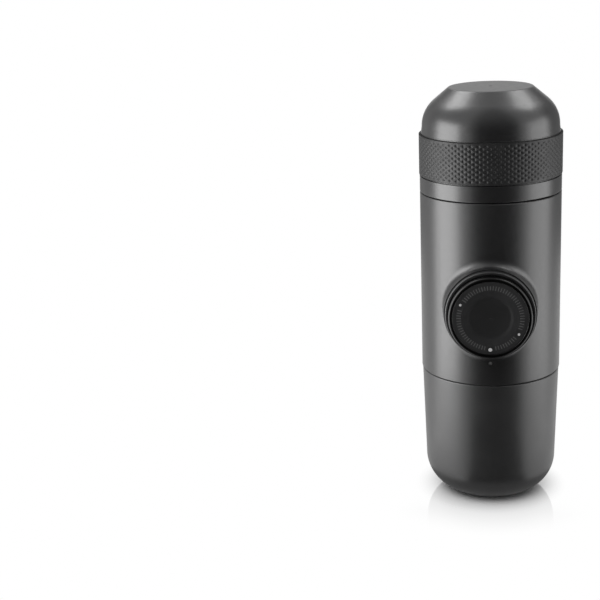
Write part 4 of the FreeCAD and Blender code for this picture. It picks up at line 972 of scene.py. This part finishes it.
class MAKER_OT_casing(bpy.types.Operator):
    """Give the casing, the tank, the cup, the knob and the inner plastic their finishes"""
    bl_idname = "maker.casing"
    bl_label = "Casing Finishes"

    def execute(self, context):
        casing = context.scene.maker_casing
        body = (casing.body_colour, casing.body_roughness)
        plain = (casing.grain, casing.grain_depth)
        fine = (casing.grain, casing.grain_depth / 2)
        coarse = (casing.grain, casing.grain_depth * 2)
        # Body and tank both carry painted shade in the seam between them
        dress(satin_coat("body_coat", *body, *plain, seam_shade=TANK_SEAM_SHADE), "body_shell")
        dress(satin_coat("bezel_coat", casing.body_colour, casing.bezel_roughness, *plain),
              "boss_bezel")
        dress(satin_coat("cup_coat", casing.cup_colour, casing.cup_roughness, *fine), "cup_shell")
        dress(moulded("tank_moulding", casing.tank_colour, casing.tank_roughness, *coarse,
                      seam_shade=TANK_SEAM_SHADE), "water_tank")
        dress(moulded("head_moulding", *body, *plain), "outlet_head", "brew_head")
        dress(moulded("black_moulding", casing.black_colour, casing.black_roughness, *plain),
              "plunger_skirt", "piston_guide", "coffee_scoop")
        dress(knob_face("knob_face", casing.knob_colour, casing.knob_roughness, *plain), "knob_cap")
        dress(moulded("inner_moulding", casing.inner_colour, casing.inner_roughness, *coarse),
              "base_plate", "valve_block", "pump_cylinder", "outlet_funnel", "spring_plug",
              "outlet_valve_cap", "piston_head")
        dress(moulded("nozzle_moulding", casing.nozzle_colour, casing.nozzle_roughness, *plain),
              "outlet_nozzle")
        dress(painted("pale_pips", casing.dots_colour, casing.dots_roughness), "knob_dots")
        dress(painted("lock_pip", casing.lock_colour, casing.lock_roughness), "lock_mark")
        return {"FINISHED"}


class MAKER_OT_metal(bpy.types.Operator):
    """Give the steel parts their polished, brushed and turned finishes"""
    bl_idname = "maker.metal"
    bl_label = "Metal Finishes"

    def execute(self, context):
        metal = context.scene.maker_metal
        hair = (metal.hairline, metal.hair_depth)
        sheet = (metal.sheet_colour, metal.sheet_roughness)
        turned = (metal.turned_colour, metal.turned_roughness)
        dress(polished_plunger(metal), "piston_sleeve")
        dress(lined_steel("sheet_steel", *sheet, "X", *hair),
              "inlet_strainer", "brew_screen", "filter_basket")
        dress(lined_steel("turned_upright", *turned, "Z", *hair),
              "spacer_posts", "chassis_screws", "strainer_screw", "inlet_tube", "delivery_tube",
              "inlet_valve_ball", "outlet_valve_ball")
        dress(lined_steel("turned_across", *turned, "Y", *hair),
              "piston_rod", "rod_clip", "knob_screw")
        return {"FINISHED"}


class MAKER_OT_seals(bpy.types.Operator):
    """Give the gaskets and seals their silicone and rubber"""
    bl_idname = "maker.seals"
    bl_label = "Seal Finishes"

    def execute(self, context):
        seals = context.scene.maker_seals
        matt, grain = seals.roughness, seals.grain
        dress(silicone("grey_silicone", seals.silicone_colour, matt, grain, seals.silicone_depth),
              "tank_gasket", "basket_gasket", "brew_gasket", "cylinder_gasket", "vent_valve")
        dress(soft_rubber("black_rubber", seals.rubber_colour, matt, grain, seals.rubber_depth),
              "head_seal", "piston_seal", "inlet_valve_seat", "outlet_valve_seat")
        return {"FINISHED"}


class MAKER_OT_grip(bpy.types.Operator):
    """Build the knurled grip band of the cup"""
    bl_idname = "maker.grip"
    bl_label = "Knurled Grip Band"

    def execute(self, context):
        knurled_band(context.scene.maker_grip)
        return {"FINISHED"}


class MAKER_OT_ticks(bpy.types.Operator):
    """Build the plain ticks on the knob's face"""
    bl_idname = "maker.ticks"
    bl_label = "Knob Ticks"

    def execute(self, context):
        knob_ticks(context.scene.maker_ticks)
        return {"FINISHED"}


class MAKER_OT_springs(bpy.types.Operator):
    """Build the return spring and the valve springs"""
    bl_idname = "maker.springs"
    bl_label = "Springs"

    def execute(self, context):
        springs(context.scene.maker_springs)
        return {"FINISHED"}


class MAKER_OT_studio(bpy.types.Operator):
    """Build the floor, the lamps, the room and the camera"""
    bl_idname = "maker.studio"
    bl_label = "Studio"

    def execute(self, context):
        studio = context.scene.maker_studio
        floor(studio.floor_radius)
        cards()
        lamps(studio)
        world(studio.fill)
        camera(studio)
        context.scene.view_settings.view_transform = "Standard"
        return {"FINISHED"}


class MAKER_PT_panel(bpy.types.Panel):
    """Sizes, colours and building steps of the espresso maker"""
    bl_idname = "MAKER_PT_panel"
    bl_label = "Espresso Maker"
    bl_space_type = "VIEW_3D"
    bl_region_type = "UI"
    bl_category = "Espresso Maker"

    def draw(self, context):
        for settings, _, operator in STEPS:
            box = self.layout.box()
            box.operator(operator.bl_idname)
            group = getattr(context.scene, settings)
            for name in group.bl_rna.properties.keys():
                if name not in ("rna_type", "name"):
                    box.prop(group, name)


STEPS = (
    ("maker_casing", CasingSettings, MAKER_OT_casing),
    ("maker_metal", MetalSettings, MAKER_OT_metal),
    ("maker_seals", SealSettings, MAKER_OT_seals),
    ("maker_grip", GripSettings, MAKER_OT_grip),
    ("maker_ticks", TickSettings, MAKER_OT_ticks),
    ("maker_springs", SpringSettings, MAKER_OT_springs),
    ("maker_studio", StudioSettings, MAKER_OT_studio),
)


def register():
    """Registers the classes and gives the scene their settings."""
    for name, settings, operator in STEPS:
        bpy.utils.register_class(settings)
        bpy.utils.register_class(operator)
        setattr(bpy.types.Scene, name, bpy.props.PointerProperty(type=settings))
    bpy.utils.register_class(MAKER_PT_panel)


def unregister():
    """Takes the classes and the scene's settings away again."""
    bpy.utils.unregister_class(MAKER_PT_panel)
    for name, settings, operator in reversed(STEPS):
        delattr(bpy.types.Scene, name)
        bpy.utils.unregister_class(operator)
        bpy.utils.unregister_class(settings)


def main():
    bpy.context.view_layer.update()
    register()
    bpy.ops.maker.casing()
    bpy.ops.maker.metal()
    bpy.ops.maker.seals()
    bpy.ops.maker.grip()
    bpy.ops.maker.ticks()
    bpy.ops.maker.springs()
    bpy.ops.maker.studio()


if __name__ == "__main__":
    main()
